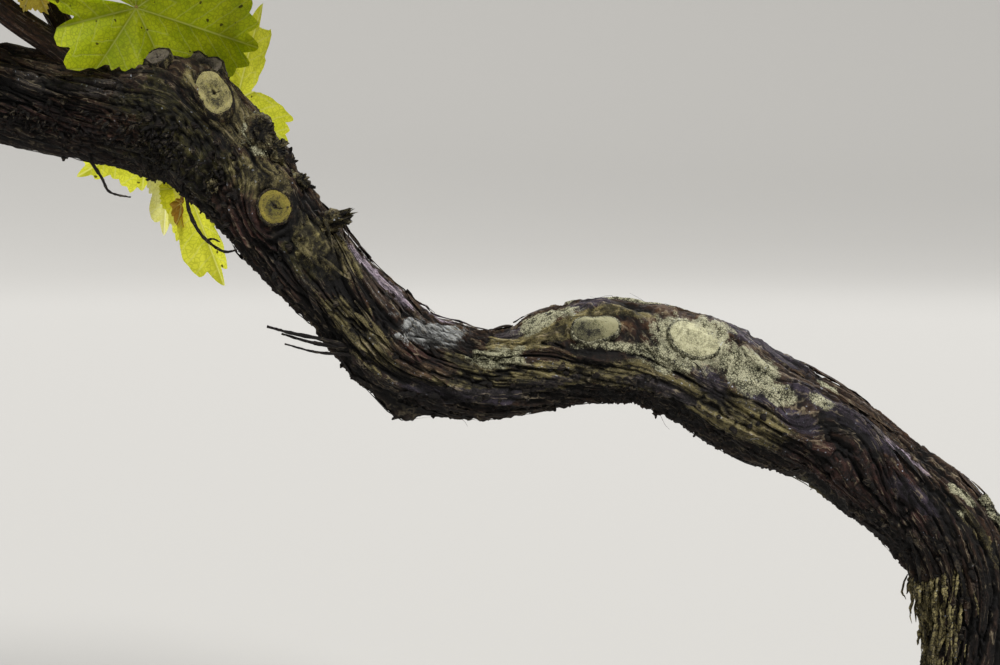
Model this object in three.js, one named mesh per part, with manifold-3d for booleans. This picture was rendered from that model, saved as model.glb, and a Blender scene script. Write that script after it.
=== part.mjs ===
// An old grapevine that leans: a shaggy trunk with a root flare rises straight,
// bends over to one side, humps, dips and climbs to a pruned head, and carries an
// arm from which canes rise into a leafy crown.
// Millimetres, +Z up. The origin is the centre of the flat cut at ground level, and
// the vine leans towards -X.

import * as THREE from "three";
import { mergeVertices } from "three/addons/utils/BufferGeometryUtils.js";
import Module from "manifold-3d";

const wasm = await Module();
wasm.setup();

// Driving dimensions
const FOOT_RADIUS = 62; // at the ground, where the roots begin to spread
const LEG_RADIUS = 38; // of the upright part of the trunk
const ROOT_LOBES = 5;
const FLARE_HEIGHT = 90; // over which the roots' lobes die away
const GAP = 0.3; // between two pieces that touch
const RINGS_PER_METRE = 46;
const TRUNK_SIDES = 16;
const CANE_SIDES = 8;
const LUMP_DETAIL = 2; // how often each edge of a lump's icosahedron is split

// The trunk's stretches from the ground up, each with stations of centre and radius.
// A stretch runs from its first station to the first station of the next one.
const STRETCHES = [
  {
    name: "trunk_foot",
    stations: [
      [0, 0, 0, FOOT_RADIUS],
      [0, 0, 45, FOOT_RADIUS * 0.78],
      [-3, 4, 110, LEG_RADIUS * 1.06],
    ],
  },
  {
    name: "trunk_leg",
    stations: [
      [-6, 8, 190, LEG_RADIUS],
      [-2, 10, 270, LEG_RADIUS * 0.97],
      [-3, 10, 350, LEG_RADIUS * 1.02],
    ],
  },
  {
    name: "trunk_shoulder",
    stations: [
      [-6, 8, 418, LEG_RADIUS],
      [-13, 8, 462, 37],
      [-31, 8, 496, 36],
    ],
  },
  {
    name: "trunk_slope",
    stations: [
      [-60, 6, 522, 34.5],
      [-93, 2, 546, 34.5],
      [-125, -2, 569, 35],
    ],
  },
  {
    name: "trunk_hump",
    stations: [
      [-164, -5, 588, 37],
      [-206, -5, 610, 36],
      [-242, -2, 624, 33.5],
      [-273, 0, 627, 35],
    ],
  },
  {
    name: "trunk_dip",
    stations: [
      [-305, 2, 622, 33],
      [-331, 2, 613, 29],
      [-357, 0, 610, 29],
      [-389, -2, 615, 32],
    ],
  },
  {
    name: "trunk_climb",
    stations: [
      [-418, -4, 628, 34.5],
      [-452, -4, 662, 31],
      [-486, -2, 698, 33.5],
    ],
  },
  {
    name: "trunk_head",
    stations: [
      [-519, 0, 738, 35],
      [-544, 0, 768, 40],
      [-573, 2, 788, 43],
    ],
  },
  {
    name: "arm",
    stations: [
      [-616, 4, 793, 34.5],
      [-653, 8, 797, 32.5],
      [-695, 12, 806, 31.5],
      [-777, 10, 819, 26],
      [-861, 6, 824, 20],
    ],
  },
];

// The canes that rise from the arm and the head, from where each leaves the old wood
// to where it enters the foliage.
const CANES = [
  {
    name: "cane_two_year",
    stations: [
      [-618, -3, 812, 11],
      [-650, -4, 836, 9.2],
      [-686, -6, 862, 9],
      [-724, -4, 898, 8.6],
      [-748, 0, 948, 8],
    ],
  },
  {
    name: "cane_behind",
    stations: [
      [-640, 18, 812, 9],
      [-650, 18, 848, 8],
      [-662, 16, 872, 7.6],
      [-678, 10, 912, 7],
      [-690, 2, 956, 6.5],
    ],
  },
  {
    name: "cane_head",
    stations: [
      [-586, 12, 812, 8],
      [-590, 14, 868, 7],
      [-588, 16, 948, 6.2],
    ],
  },
  {
    name: "cane_right",
    stations: [
      [-548, 14, 796, 8.5],
      [-538, 30, 850, 7.8],
      [-519, 38, 900, 7.2],
      [-476, 36, 958, 6.6],
      [-430, 24, 996, 6],
    ],
  },
  {
    name: "cane_arm_front",
    stations: [
      [-738, 6, 822, 8],
      [-748, -14, 868, 7.2],
      [-786, -34, 950, 6.4],
    ],
  },
  {
    name: "cane_arm_back",
    stations: [
      [-806, 12, 826, 7.6],
      [-820, 30, 880, 6.9],
      [-850, 40, 960, 6.2],
    ],
  },
  {
    name: "cane_arm_end",
    stations: [
      [-846, 6, 824, 10],
      [-892, 2, 852, 8],
      [-934, -4, 906, 7.2],
      [-966, -8, 992, 6.4],
    ],
  },
];

// What pruning left: short stubs with a flat cut, each from inside the wood outward.
const STUBS = [
  { name: "stub_top", from: [-573, -10, 800], to: [-583, -22, 838], radius: 9 },
  { name: "stub_crown", from: [-552, 4, 790], to: [-556, -4, 834], radius: 8 },
  { name: "stub_front", from: [-543, -10, 785], to: [-541, -48, 808], radius: 14 },
  { name: "stub_neck", from: [-506, -8, 722], to: [-503, -42, 730], radius: 15 },
  { name: "stub_hump", from: [-216, -10, 616], to: [-206, -33, 645], radius: 17 },
  { name: "stub_knob", from: [-280, -8, 630], to: [-281, -34, 645], radius: 13 },
];

// The crown: columns of foliage beside each other, in tiers, under one rounded outline.
const CROWN_MIDDLE = -632;
const CROWN_BASE = 898;
const CROWN_HEIGHT = 810; // above the base, at the middle
const CROWN_DEPTH = 196; // half of it, where it is deepest
const COLUMN_PITCH = 152;
const OUTLINE_REACH = 3.2; // from the middle to where the outline meets the base, in columns
const COLUMN_LAP = 0.32; // how far a column reaches past its pitch, as a share of it
const TIER_LAP = 0.22; // how much of a tier laps the one below, as a share of its height
const COLUMNS = [
  { name: "middle_left", at: -0.5, tiers: 3, rise: 0 },
  { name: "middle_right", at: 0.5, tiers: 3, rise: 12 },
  { name: "left", at: -1.5, tiers: 2, rise: 8 },
  { name: "right", at: 1.5, tiers: 2, rise: 30 },
  { name: "far_left", at: -2.45, tiers: 1, rise: 74 },
  { name: "far_right", at: 2.4, tiers: 1, rise: 96 },
];
const TIER_NAMES = ["low", "high", "top"];

// Few leaves that hang by themselves round the head, as small masses.
const HANGING = [
  { name: "leaves_over_head", centre: [-588, -34, 872], half: [70, 26, 46] },
  { name: "leaves_behind_head", centre: [-512, 54, 842], half: [36, 23, 62] },
  { name: "leaves_under_head", centre: [-556, 44, 716], half: [44, 20, 44] },
  { name: "leaves_under_arm", centre: [-642, 42, 760], half: [34, 18, 26] },
];

const COLOURS = {
  bark: new THREE.MeshStandardMaterial({ color: 0x3a302b, roughness: 0.92, metalness: 0 }),
  cane: new THREE.MeshStandardMaterial({ color: 0x6b5346, roughness: 0.8, metalness: 0 }),
  cut: new THREE.MeshStandardMaterial({ color: 0x8c8466, roughness: 0.9, metalness: 0 }),
  leaf: new THREE.MeshStandardMaterial({ color: 0x93a83a, roughness: 0.6, metalness: 0 }),
};

// A smooth course through stations: the centre and the radius at each share of it.
class Course {
  constructor(stations) {
    this.line = new THREE.CatmullRomCurve3(
      stations.map(([x, y, z]) => new THREE.Vector3(x, y, z)),
      false,
      "centripetal",
    );
    this.radii = stations.map((s) => s[3]);
    this.last = stations.length - 1;
  }

  centre(station) {
    return this.line.getPoint(station / this.last);
  }

  tangent(station) {
    return this.line.getTangent(station / this.last);
  }

  radius(station) {
    const from = Math.min(Math.floor(station), this.last - 1);
    const share = station - from;
    const ease = share * share * (3 - 2 * share);
    return this.radii[from] * (1 - ease) + this.radii[from + 1] * ease;
  }
}

// How far the wood bulges at an angle round it: sinews that wind along the trunk,
// and at the foot the lobes of the roots.
function sinews(angle, length, height) {
  const winding = length / 210;
  const wood =
    0.055 * Math.cos(2 * (angle - winding)) +
    0.035 * Math.cos(3 * angle + 1.7 * winding) +
    0.02 * Math.cos(5 * (angle - 0.6 * winding) + 1);
  const roots = 0.14 * Math.exp(-height / FLARE_HEIGHT) * Math.cos(ROOT_LOBES * angle);
  return 1 + wood + roots;
}

function round() {
  return 1;
}

// The solid of one stretch of a course, between two stations, thicker by grow.
function limb(course, from, to, { sides, rings, section, lengthAt = 0, grow = 0 }) {
  const points = [];
  const faces = [];
  const side = new THREE.Vector3(0, 1, 0);
  let length = lengthAt;
  let before = course.centre(from);
  for (let ring = 0; ring <= rings; ring++) {
    const station = from + ((to - from) * ring) / rings;
    const end = ring === 0 ? -1 : ring === rings ? 1 : 0;
    const along = course.tangent(station);
    const centre = course.centre(station).addScaledVector(along, end * (grow - GAP / 2));
    length += centre.distanceTo(before);
    before = centre.clone();
    const across = side.clone().cross(along).normalize();
    const up = along.clone().cross(across).normalize();
    for (let k = 0; k < sides; k++) {
      const angle = (2 * Math.PI * k) / sides;
      const reach = course.radius(station) * section(angle, length, centre.z) + grow;
      const point = centre
        .clone()
        .addScaledVector(across, reach * Math.cos(angle))
        .addScaledVector(up, reach * Math.sin(angle));
      points.push(point.x, point.y, point.z);
    }
  }
  for (let ring = 0; ring < rings; ring++) {
    for (let k = 0; k < sides; k++) {
      const a = ring * sides + k;
      const b = ring * sides + ((k + 1) % sides);
      faces.push(a, b, b + sides, a, b + sides, a + sides);
    }
  }
  for (let k = 1; k < sides - 1; k++) {
    const top = rings * sides;
    faces.push(0, k + 1, k, top, top + k, top + k + 1);
  }
  return { geometry: shell(points, faces), length };
}

// A closed lump of foliage round a centre, its surface uneven by a seeded sum of waves.
function lump(centre, half, seed, grow = 0) {
  const ball = new THREE.IcosahedronGeometry(1, LUMP_DETAIL);
  ball.deleteAttribute("normal");
  ball.deleteAttribute("uv");
  const geometry = mergeVertices(ball, 1e-4);
  const place = geometry.getAttribute("position");
  const way = new THREE.Vector3();
  for (let i = 0; i < place.count; i++) {
    way.fromBufferAttribute(place, i).normalize();
    const uneven =
      1 +
      0.1 * Math.sin(3.1 * way.x + 2.3 * way.z + seed) +
      0.08 * Math.sin(4.7 * way.y - 3.9 * way.z + 2.1 * seed) +
      0.05 * Math.sin(7.3 * way.x + 6.1 * way.y + 3.3 * seed);
    const reach = new THREE.Vector3(half[0] * way.x, half[1] * way.y, half[2] * way.z);
    reach.multiplyScalar(uneven);
    reach.addScaledVector(way, grow);
    place.setXYZ(i, centre[0] + reach.x, centre[1] + reach.y, centre[2] + reach.z);
  }
  return geometry;
}

function shell(points, faces) {
  const geometry = new THREE.BufferGeometry();
  geometry.setAttribute("position", new THREE.Float32BufferAttribute(points, 3));
  geometry.setIndex(faces);
  return geometry;
}

function solid(geometry) {
  return new wasm.Manifold(
    new wasm.Mesh({
      numProp: 3,
      vertProperties: new Float32Array(geometry.getAttribute("position").array),
      triVerts: new Uint32Array(geometry.index.array),
    }),
  );
}

// The largest body that is left of a solid once the others are cut from it.
function cutBy(piece, others) {
  const left = others.reduce((made, other) => made.subtract(other), piece);
  return left.decompose().sort((a, b) => b.volume() - a.volume())[0];
}

function meshOf(name, made, material) {
  const { numProp, vertProperties, triVerts } = made.getMesh();
  const points = [];
  for (let i = 0; i < vertProperties.length; i += numProp) {
    points.push(vertProperties[i], vertProperties[i + 1], vertProperties[i + 2]);
  }
  const mesh = new THREE.Mesh(shell(points, Array.from(triVerts)), material);
  mesh.geometry.computeVertexNormals();
  mesh.name = name;
  return mesh;
}

const vine = new THREE.Group();
const cutters = []; // each finished piece, grown by the gap, for the ones that follow

function addPiece(name, piece, grown, material) {
  vine.add(meshOf(name, cutBy(piece, cutters), material));
  return grown;
}

// The trunk and the arm share one course, so their faces meet squarely.
function buildTrunk() {
  const course = new Course(STRETCHES.flatMap((stretch) => stretch.stations));
  let from = 0;
  let length = 0;
  for (const { name, stations } of STRETCHES) {
    const to = Math.min(from + stations.length, course.last);
    const metres = (course.line.getLength() * (to - from)) / course.last / 1000;
    const options = {
      sides: TRUNK_SIDES,
      rings: Math.max(6, Math.round(metres * RINGS_PER_METRE)),
      section: sinews,
      lengthAt: length,
    };
    const wood = limb(course, from, to, options);
    const grown = limb(course, from, to, { ...options, grow: GAP });
    if (from === 0) {
      flatten(wood.geometry);
    }
    vine.add(meshOf(name, solid(wood.geometry), COLOURS.bark));
    cutters.push(solid(grown.geometry));
    length = wood.length;
    from = to;
  }
}

// Brings the first ring of the trunk onto the ground.
function flatten(geometry) {
  const place = geometry.getAttribute("position");
  for (let k = 0; k < TRUNK_SIDES; k++) {
    place.setZ(k, 0);
  }
}

function buildStubs() {
  const grown = STUBS.map(({ name, from, to, radius }) => {
    const course = new Course([
      [...from, radius * 1.25],
      [...to, radius],
    ]);
    const options = { sides: 12, rings: 2, section: round };
    const wood = solid(limb(course, 0, 1, options).geometry);
    const wider = solid(limb(course, 0, 1, { ...options, grow: GAP }).geometry);
    return addPiece(name, wood, wider, COLOURS.cut);
  });
  cutters.push(...grown);
}

function buildCanes() {
  for (const { name, stations } of CANES) {
    const course = new Course(stations);
    const options = { sides: CANE_SIDES, rings: 2 * course.last, section: round };
    const wood = solid(limb(course, 0, course.last, options).geometry);
    const wider = solid(limb(course, 0, course.last, { ...options, grow: GAP }).geometry);
    cutters.push(addPiece(name, wood, wider, COLOURS.cane));
  }
}

function buildFoliage() {
  let seed = 1;
  for (const { name, centre, half } of HANGING) {
    seed += 1.7;
    const piece = solid(lump(centre, half, seed));
    const grown = solid(lump(centre, half, seed, GAP));
    cutters.push(addPiece(name, piece, grown, COLOURS.leaf));
  }
  for (const { name, at, tiers, rise } of COLUMNS) {
    const outward = at / OUTLINE_REACH;
    const height = CROWN_HEIGHT * Math.sqrt(1 - outward * outward) - rise;
    const tierHeight = height / (tiers - TIER_LAP * (tiers - 1));
    for (let tier = 0; tier < tiers; tier++) {
      seed += 1.7;
      const half = [
        (COLUMN_PITCH / 2) * (1 + COLUMN_LAP),
        CROWN_DEPTH * (1 - 0.35 * outward * outward) * (1 - 0.1 * tier),
        tierHeight / 2,
      ];
      const centre = [
        CROWN_MIDDLE + COLUMN_PITCH * at,
        18 * Math.sin(seed),
        CROWN_BASE + rise + tierHeight * (0.5 + tier * (1 - TIER_LAP)),
      ];
      const piece = solid(lump(centre, half, seed));
      const grown = solid(lump(centre, half, seed, GAP));
      cutters.push(addPiece(`foliage_${name}_${TIER_NAMES[tier]}`, piece, grown, COLOURS.leaf));
    }
  }
}

buildTrunk();
buildStubs();
buildCanes();
buildFoliage();

export default vine;
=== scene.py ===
"""An old leaning grapevine: shaggy trunk, pruned head, an arm, canes and a leafy crown.

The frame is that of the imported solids: metres, +Z up, the origin at the flat cut under the
trunk, the vine leaning towards -X and its pictured side facing -Y. The tables hold
millimetres, which are scaled where they are read.
"""
import logging
import math
from dataclasses import dataclass, field
from enum import Enum
from typing import Callable, Sequence

import bpy
import numpy as np
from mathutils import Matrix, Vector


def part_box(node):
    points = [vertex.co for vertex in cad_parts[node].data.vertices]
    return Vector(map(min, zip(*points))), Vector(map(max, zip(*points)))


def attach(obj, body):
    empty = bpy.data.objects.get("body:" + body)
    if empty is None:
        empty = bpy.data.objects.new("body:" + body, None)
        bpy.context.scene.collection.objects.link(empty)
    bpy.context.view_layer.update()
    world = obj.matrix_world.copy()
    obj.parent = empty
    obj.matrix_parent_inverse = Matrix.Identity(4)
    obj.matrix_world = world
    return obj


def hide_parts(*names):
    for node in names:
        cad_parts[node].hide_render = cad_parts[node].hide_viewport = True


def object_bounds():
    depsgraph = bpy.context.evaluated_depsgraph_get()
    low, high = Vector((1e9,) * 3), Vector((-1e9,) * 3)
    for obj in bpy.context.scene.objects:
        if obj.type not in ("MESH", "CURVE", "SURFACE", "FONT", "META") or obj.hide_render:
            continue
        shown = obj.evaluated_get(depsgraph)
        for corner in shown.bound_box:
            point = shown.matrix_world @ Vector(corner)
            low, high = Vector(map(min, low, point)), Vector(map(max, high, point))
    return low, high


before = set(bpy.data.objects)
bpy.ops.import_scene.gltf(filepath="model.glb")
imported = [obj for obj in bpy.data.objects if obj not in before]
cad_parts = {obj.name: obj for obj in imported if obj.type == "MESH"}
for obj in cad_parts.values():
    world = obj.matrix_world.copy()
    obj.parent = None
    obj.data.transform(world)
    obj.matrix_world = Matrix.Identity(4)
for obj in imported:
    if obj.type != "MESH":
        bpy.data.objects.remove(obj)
CAD_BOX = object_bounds()

MM = 0.001
TURN = 2 * math.pi
UP = np.array([0.0, 0.0, 1.0])
Array = np.ndarray
Rng = np.random.Generator
Material = bpy.types.Material
Point = tuple[float, float, float]
Station = tuple[float, float, float, float]

log = logging.getLogger("grapevine")


def smooth(low: float, high: float, value: Array) -> Array:
    """An even step from 0 at low to 1 at high."""
    share = np.clip((value - low) / (high - low), 0, 1)
    return share * share * (3 - 2 * share)


def mix(a: Array, b: Array, share: Array) -> Array:
    """The value between a and b at a share."""
    return a + (b - a) * share


def bell(value: Array, width: float) -> Array:
    """A bump of height 1 round 0."""
    return np.exp(-((value / width) ** 2))


def unit(vectors: Array) -> Array:
    """Vectors brought to length 1 along their last axis."""
    return vectors / np.maximum(np.linalg.norm(vectors, axis=-1, keepdims=True), 1e-12)


def wrapped(angle: Array) -> Array:
    """An angle brought to between minus and plus half a turn."""
    return (angle + math.pi) % TURN - math.pi


def round_angles(count: int) -> Array:
    """Angles spread evenly over one turn."""
    return np.arange(count) * TURN / count


def bend(start: Array, knee: Array, end: Array, steps: int) -> Array:
    """Points of a curve from start to end that is drawn towards a knee."""
    t = np.linspace(0, 1, steps)[:, None]
    return (1 - t) ** 2 * start + 2 * t * (1 - t) * knee + t * t * end


def rolled(along: Array, radius: Array, angle: Array) -> Array:
    """Where a place lies in the grain: along it, and rolled up round it."""
    return np.stack(
        np.broadcast_arrays(along, radius * np.cos(angle), radius * np.sin(angle)), axis=-1)


def ridges(noise: Array) -> Array:
    """Noise folded into sharp crests, from 0 in the valleys to 1 on the crests."""
    return 1 - np.clip(2 * np.abs(noise), 0, 1)


class Lattice:
    """Cells along a limb and round it that close on themselves after one turn."""

    ROWS = 263

    def __init__(self, seed: int, around: int) -> None:
        """Keeps the number of cells in one turn and what is dealt out from the seed."""
        self.around = around
        self.rng = np.random.default_rng(seed)

    def cells(self, along: Array, turns: Array) -> tuple[Array, Array, Array]:
        """The place across in cells, and the row and column of its cell."""
        across = turns * self.around
        return across, np.floor(along).astype(int), np.floor(across).astype(int)


class Grain(Lattice):
    """Gradient noise from about -1 to 1 on a lattice."""

    def __init__(self, seed: int, around: int) -> None:
        """Deals out the lattice's gradients.

        Args:
            seed: what the gradients are drawn from.
            around: cells round the limb.
        """
        super().__init__(seed, around)
        way = self.rng.uniform(0, TURN, (self.ROWS, around))
        self.slope_along = np.cos(way)
        self.slope_round = np.sin(way)

    def __call__(self, along: Array, turns: Array) -> Array:
        """The noise at places along the limb, in cells, and round it, in turns.

        Args:
            along: places along the limb.
            turns: places round it.

        Returns:
            The noise, about -1 to 1.
        """
        across, row, column = self.cells(along, turns)
        u = along - row
        v = across - column

        def corner(a: int, b: int) -> Array:
            """What the lattice point a rows and b columns on adds."""
            at = ((row + a) % self.ROWS, (column + b) % self.around)
            return self.slope_along[at] * (u - a) + self.slope_round[at] * (v - b)

        ease_u, ease_v = (w * w * w * (w * (6 * w - 15) + 10) for w in (u, v))
        near = mix(corner(0, 0), corner(1, 0), ease_u)
        far = mix(corner(0, 1), corner(1, 1), ease_u)
        return 1.5 * mix(near, far, ease_v)


@dataclass(frozen=True)
class Layer:
    """Bark plates of one size: their cells and how strongly they show."""

    seed: int
    around: int
    long: float
    level: float
    tilt: float
    groove: float
    wide: float
    sharp: float


class Plates(Lattice):
    """Long cells of bark, each with its own level and tilt."""

    def __init__(self, layer: Layer) -> None:
        """Deals out each cell's place, level and tilt.

        Args:
            layer: the sizes of the plates.
        """
        super().__init__(layer.seed, layer.around)
        self.layer = layer
        self.drawn = self.rng.random((self.ROWS, layer.around, 4))

    def __call__(self, mm: Array, turns: Array) -> tuple[Array, Array]:
        """The plates at each place.

        Args:
            mm: millimetres along the limb.
            turns: place round the limb, in turns.

        Returns:
            The relief, with grooves between the plates, and each plate's level from -1 to 1.
        """
        along = mm / self.layer.long
        across, row, column = self.cells(along, turns)
        nearest, second = np.full(along.shape, 9.0), np.full(along.shape, 9.0)
        level, tilt = np.zeros(along.shape), np.zeros(along.shape)
        for a, b in ((a, b) for a in (-1, 0, 1) for b in (-1, 0, 1)):
            cell = self.drawn[(row + a) % self.ROWS, (column + b) % self.around]
            du = along - (row + a + 0.1 + 0.8 * cell[..., 0])
            dv = across - (column + b + 0.1 + 0.8 * cell[..., 1])
            gap = np.cbrt(np.abs(du) ** 3 + np.abs(dv) ** 3)
            closer = gap < nearest
            second = np.where(closer, nearest, np.minimum(second, gap))
            nearest = np.where(closer, gap, nearest)
            level = np.where(closer, 2 * cell[..., 2] - 1, level)
            tilt = np.where(closer, dv * (2 * cell[..., 3] - 1) * 2, tilt)
        own = self.layer
        groove = own.groove * smooth(own.wide, own.sharp, second - nearest)
        return own.level * level + own.tilt * tilt - groove, level


class Course:
    """A smooth centripetal course through stations of centre and radius."""

    SAMPLES = 4001

    def __init__(self, stations: Sequence[Station]) -> None:
        """Keeps the stations, x, y, z and radius in millimetres, and measures the course.

        Args:
            stations: the stations from the foot to the end.
        """
        self.stations = np.array(stations, float) * MM
        self.last = len(stations) - 1
        points = self.stations[:, :3]
        before = 2 * points[:1] - points[1:2]
        after = 2 * points[-1:] - points[-2:-1]
        self.control = np.concatenate((before, points, after))
        self.shares = np.linspace(0, self.last, self.SAMPLES)
        steps = np.diff(self.centre(self.shares), axis=0)
        self.lengths = np.concatenate(([0.0], np.cumsum(np.linalg.norm(steps, axis=1))))
        self.length = float(self.lengths[-1])

    def _cubic(self, share: Array) -> tuple[Array, Array, Array, Array, Array]:
        """How far along its cubic each share lies, and the cubic's four terms.

        Args:
            share: places, counted in stations.

        Returns:
            The share within the cubic, and the terms from the constant up.
        """
        share = np.asarray(share, float)
        at = np.clip(np.floor(share).astype(int), 0, self.last - 1)
        x0, x1, x2, x3 = (self.control[at + k] for k in range(4))
        gap0, gap1, gap2 = (
            np.sqrt(np.linalg.norm(b - a, axis=-1, keepdims=True))
            for a, b in ((x0, x1), (x1, x2), (x2, x3))
        )
        start = (x1 - x0) / gap0 - (x2 - x0) / (gap0 + gap1) + (x2 - x1) / gap1
        end = (x2 - x1) / gap1 - (x3 - x1) / (gap1 + gap2) + (x3 - x2) / gap2
        start, end = start * gap1, end * gap1
        t = (share - at)[..., None]
        return t, x1, start, 3 * (x2 - x1) - 2 * start - end, 2 * (x1 - x2) + start + end

    def centre(self, share: Array) -> Array:
        """The centre line's points at shares counted in stations."""
        t, c0, c1, c2, c3 = self._cubic(share)
        return c0 + t * (c1 + t * (c2 + t * c3))

    def along(self, share: Array) -> Array:
        """The centre line's direction at shares counted in stations."""
        t, _, c1, c2, c3 = self._cubic(share)
        return unit(c1 + t * (2 * c2 + 3 * t * c3))

    def radius(self, length: Array) -> Array:
        """The radius at lengths in metres.

        Args:
            length: lengths along the course in metres.

        Returns:
            The radii in metres.
        """
        share = np.asarray(np.interp(length, self.lengths, self.shares))
        at = np.clip(np.floor(share).astype(int), 0, self.last - 1)
        return mix(self.stations[at, 3], self.stations[at + 1, 3], smooth(0, 1, share - at))

    def length_at(self, share: Array) -> Array:
        """The length in metres at shares counted in stations."""
        return np.interp(share, self.shares, self.lengths)

    def frame(self, length: Array) -> tuple[Array, Array, Array, Array]:
        """The centre, the direction and the two directions across it at lengths.

        Args:
            length: lengths along the course in metres.

        Returns:
            The four, one row a length.
        """
        share = np.interp(length, self.lengths, self.shares)
        along = self.along(share)
        across = unit(np.cross(np.array([0.0, 1.0, 0.0]), along))
        return self.centre(share), along, across, np.cross(along, across)


def grid_faces(rows: int, columns: int, closed: bool = True) -> Array:
    """Four-cornered faces of a grid of vertices.

    Args:
        rows: vertices in the first direction.
        columns: vertices in the second direction.
        closed: whether the last column meets the first.

    Returns:
        The faces, one a row.
    """
    row = np.arange(rows - 1)[:, None]
    column = np.arange(columns if closed else columns - 1)[None, :]
    beside = (column + 1) % columns
    corners = [row * columns + column, row * columns + beside]
    corners += [(row + 1) * columns + beside, (row + 1) * columns + column]
    return np.stack(np.broadcast_arrays(*corners), axis=-1).reshape(-1, 4)


def grid_uv(rows: int, columns: int) -> Array:
    """The UV place of each corner of a closed grid's faces, over the whole square.

    Args:
        rows: vertices in the first direction.
        columns: vertices round the grid.

    Returns:
        One row a corner.
    """
    row = np.arange(rows - 1)[:, None]
    column = np.arange(columns)[None, :]
    places = []
    for down, right in ((0, 0), (0, 1), (1, 1), (1, 0)):
        pair = np.broadcast_arrays((column + right) / columns, (row + down) / (rows - 1))
        places.append(np.stack(pair, axis=-1))
    return np.stack(places, axis=2).reshape(-1, 2)


@dataclass
class Mesh:
    """The arrays of a mesh.

    Attributes:
        points: vertices, in metres.
        faces: arrays of faces, each with faces of one number of corners.
        fields: values of each vertex that its material reads, by name.
        uv: the UV place of each corner, in the faces' order.
        normals: the normal of each vertex, where it crosses a seam.
        slots: the material slot of each face.
    """

    points: Array
    faces: Sequence[Array]
    fields: dict[str, Array] = field(default_factory=dict)
    uv: Array | None = None
    normals: Array | None = None
    slots: Array | None = None

    def shown(self, name: str, *materials: Material) -> bpy.types.Object:
        """Makes an object of the mesh and puts it in the scene.

        Args:
            name: the object's name.
            materials: one for each slot.

        Returns:
            The object.
        """
        mesh = bpy.data.meshes.new(name)
        points = np.asarray(self.points, np.float32).reshape(-1, 3)
        corners = np.concatenate([np.asarray(f, np.int32).ravel() for f in self.faces])
        sizes = np.concatenate([np.full(len(f), f.shape[1], np.int32) for f in self.faces])
        mesh.vertices.add(len(points))
        mesh.vertices.foreach_set("co", points.ravel())
        mesh.loops.add(len(corners))
        mesh.loops.foreach_set("vertex_index", corners)
        mesh.polygons.add(len(sizes))
        starts = np.concatenate(([0], np.cumsum(sizes)[:-1])).astype(np.int32)
        mesh.polygons.foreach_set("loop_start", starts)
        mesh.polygons.foreach_set("use_smooth", np.ones(len(sizes), bool))
        if self.slots is not None:
            mesh.polygons.foreach_set("material_index", self.slots.astype(np.int32))
        mesh.update(calc_edges=True)
        for key, values in self.fields.items():
            flat = values.ndim == 1 or values.shape[-1] == 1
            made = mesh.attributes.new(key, "FLOAT" if flat else "FLOAT_VECTOR", "POINT")
            made.data.foreach_set("value" if flat else "vector", values.astype(np.float32).ravel())
        if self.uv is not None:
            layer = mesh.uv_layers.new(name="OFBake")
            layer.data.foreach_set("uv", np.asarray(self.uv, np.float32).ravel())
        if self.normals is not None:
            flat = self.normals.reshape(-1, 3).astype(np.float32)
            mesh.normals_split_custom_set_from_vertices(flat)
        for material in materials:
            mesh.materials.append(material)
        piece = bpy.data.objects.new(name, mesh)
        bpy.context.scene.collection.objects.link(piece)
        return piece

    def build(self, name: str, slot: str, nodes: Sequence[str], *materials: Material) -> None:
        """Makes a piece of the mesh, ties it to the frame and reports it.

        Args:
            name: the piece's name.
            slot: a material slot of the record; not used.
            nodes: the CAD nodes that it stands for.
            materials: one for each slot of the mesh.
        """
        piece = self.shown(name, *materials)
        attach(piece, "root")
        if nodes:
            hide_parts(*nodes)
        log.info("%s: %d faces", name, len(piece.data.polygons))


def arithmetic(operation: str, swapped: bool = False) -> Callable[..., "Value"]:
    """Makes an operator of Value that adds a Math node.

    Args:
        operation: the Math node's operation.
        swapped: whether the value is the second operand.

    Returns:
        The method.
    """

    def operator(self: "Value", other: "Value | float") -> "Value":
        """The node's output."""
        return self.math(operation, *((other, self) if swapped else (self, other)))

    return operator


class Value:
    """A shader socket that takes part in Python arithmetic through Math nodes."""

    def __init__(self, shader: "Shader", socket: bpy.types.NodeSocket) -> None:
        """Wraps one output socket of a shader's node."""
        self.shader = shader
        self.socket = socket

    def math(self, operation: str, *sides: "Value | float") -> "Value":
        """A Math node over the given sides."""
        return self.shader.node("ShaderNodeMath", {"operation": operation}, dict(enumerate(sides)))

    __add__ = __radd__ = arithmetic("ADD")
    __mul__ = __rmul__ = arithmetic("MULTIPLY")
    __sub__ = arithmetic("SUBTRACT")
    __rsub__ = arithmetic("SUBTRACT", swapped=True)
    either = arithmetic("MAXIMUM")

    def __abs__(self) -> "Value":
        """The value without its sign."""
        return self.math("ABSOLUTE", self)

    def clamped(self) -> "Value":
        """The value held between 0 and 1."""
        return self.math("MINIMUM", self.math("MAXIMUM", self, 0.0), 1.0)

    def step(self, low: float, high: float) -> "Value":
        """A straight step from 0 at low to 1 at high."""
        return ((self - low) * (1 / (high - low))).clamped()


def paint(code: str) -> tuple[float, float, float, float]:
    """The linear colour of a six-digit code.

    Args:
        code: red, green and blue in hexadecimal digits.

    Returns:
        Red, green, blue and an alpha of one.
    """
    shares = [int(code[k : k + 2], 16) / 255 for k in (0, 2, 4)]
    linear = [s / 12.92 if s <= 0.04045 else ((s + 0.055) / 1.055) ** 2.4 for s in shares]
    return (linear[0], linear[1], linear[2], 1.0)


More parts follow.
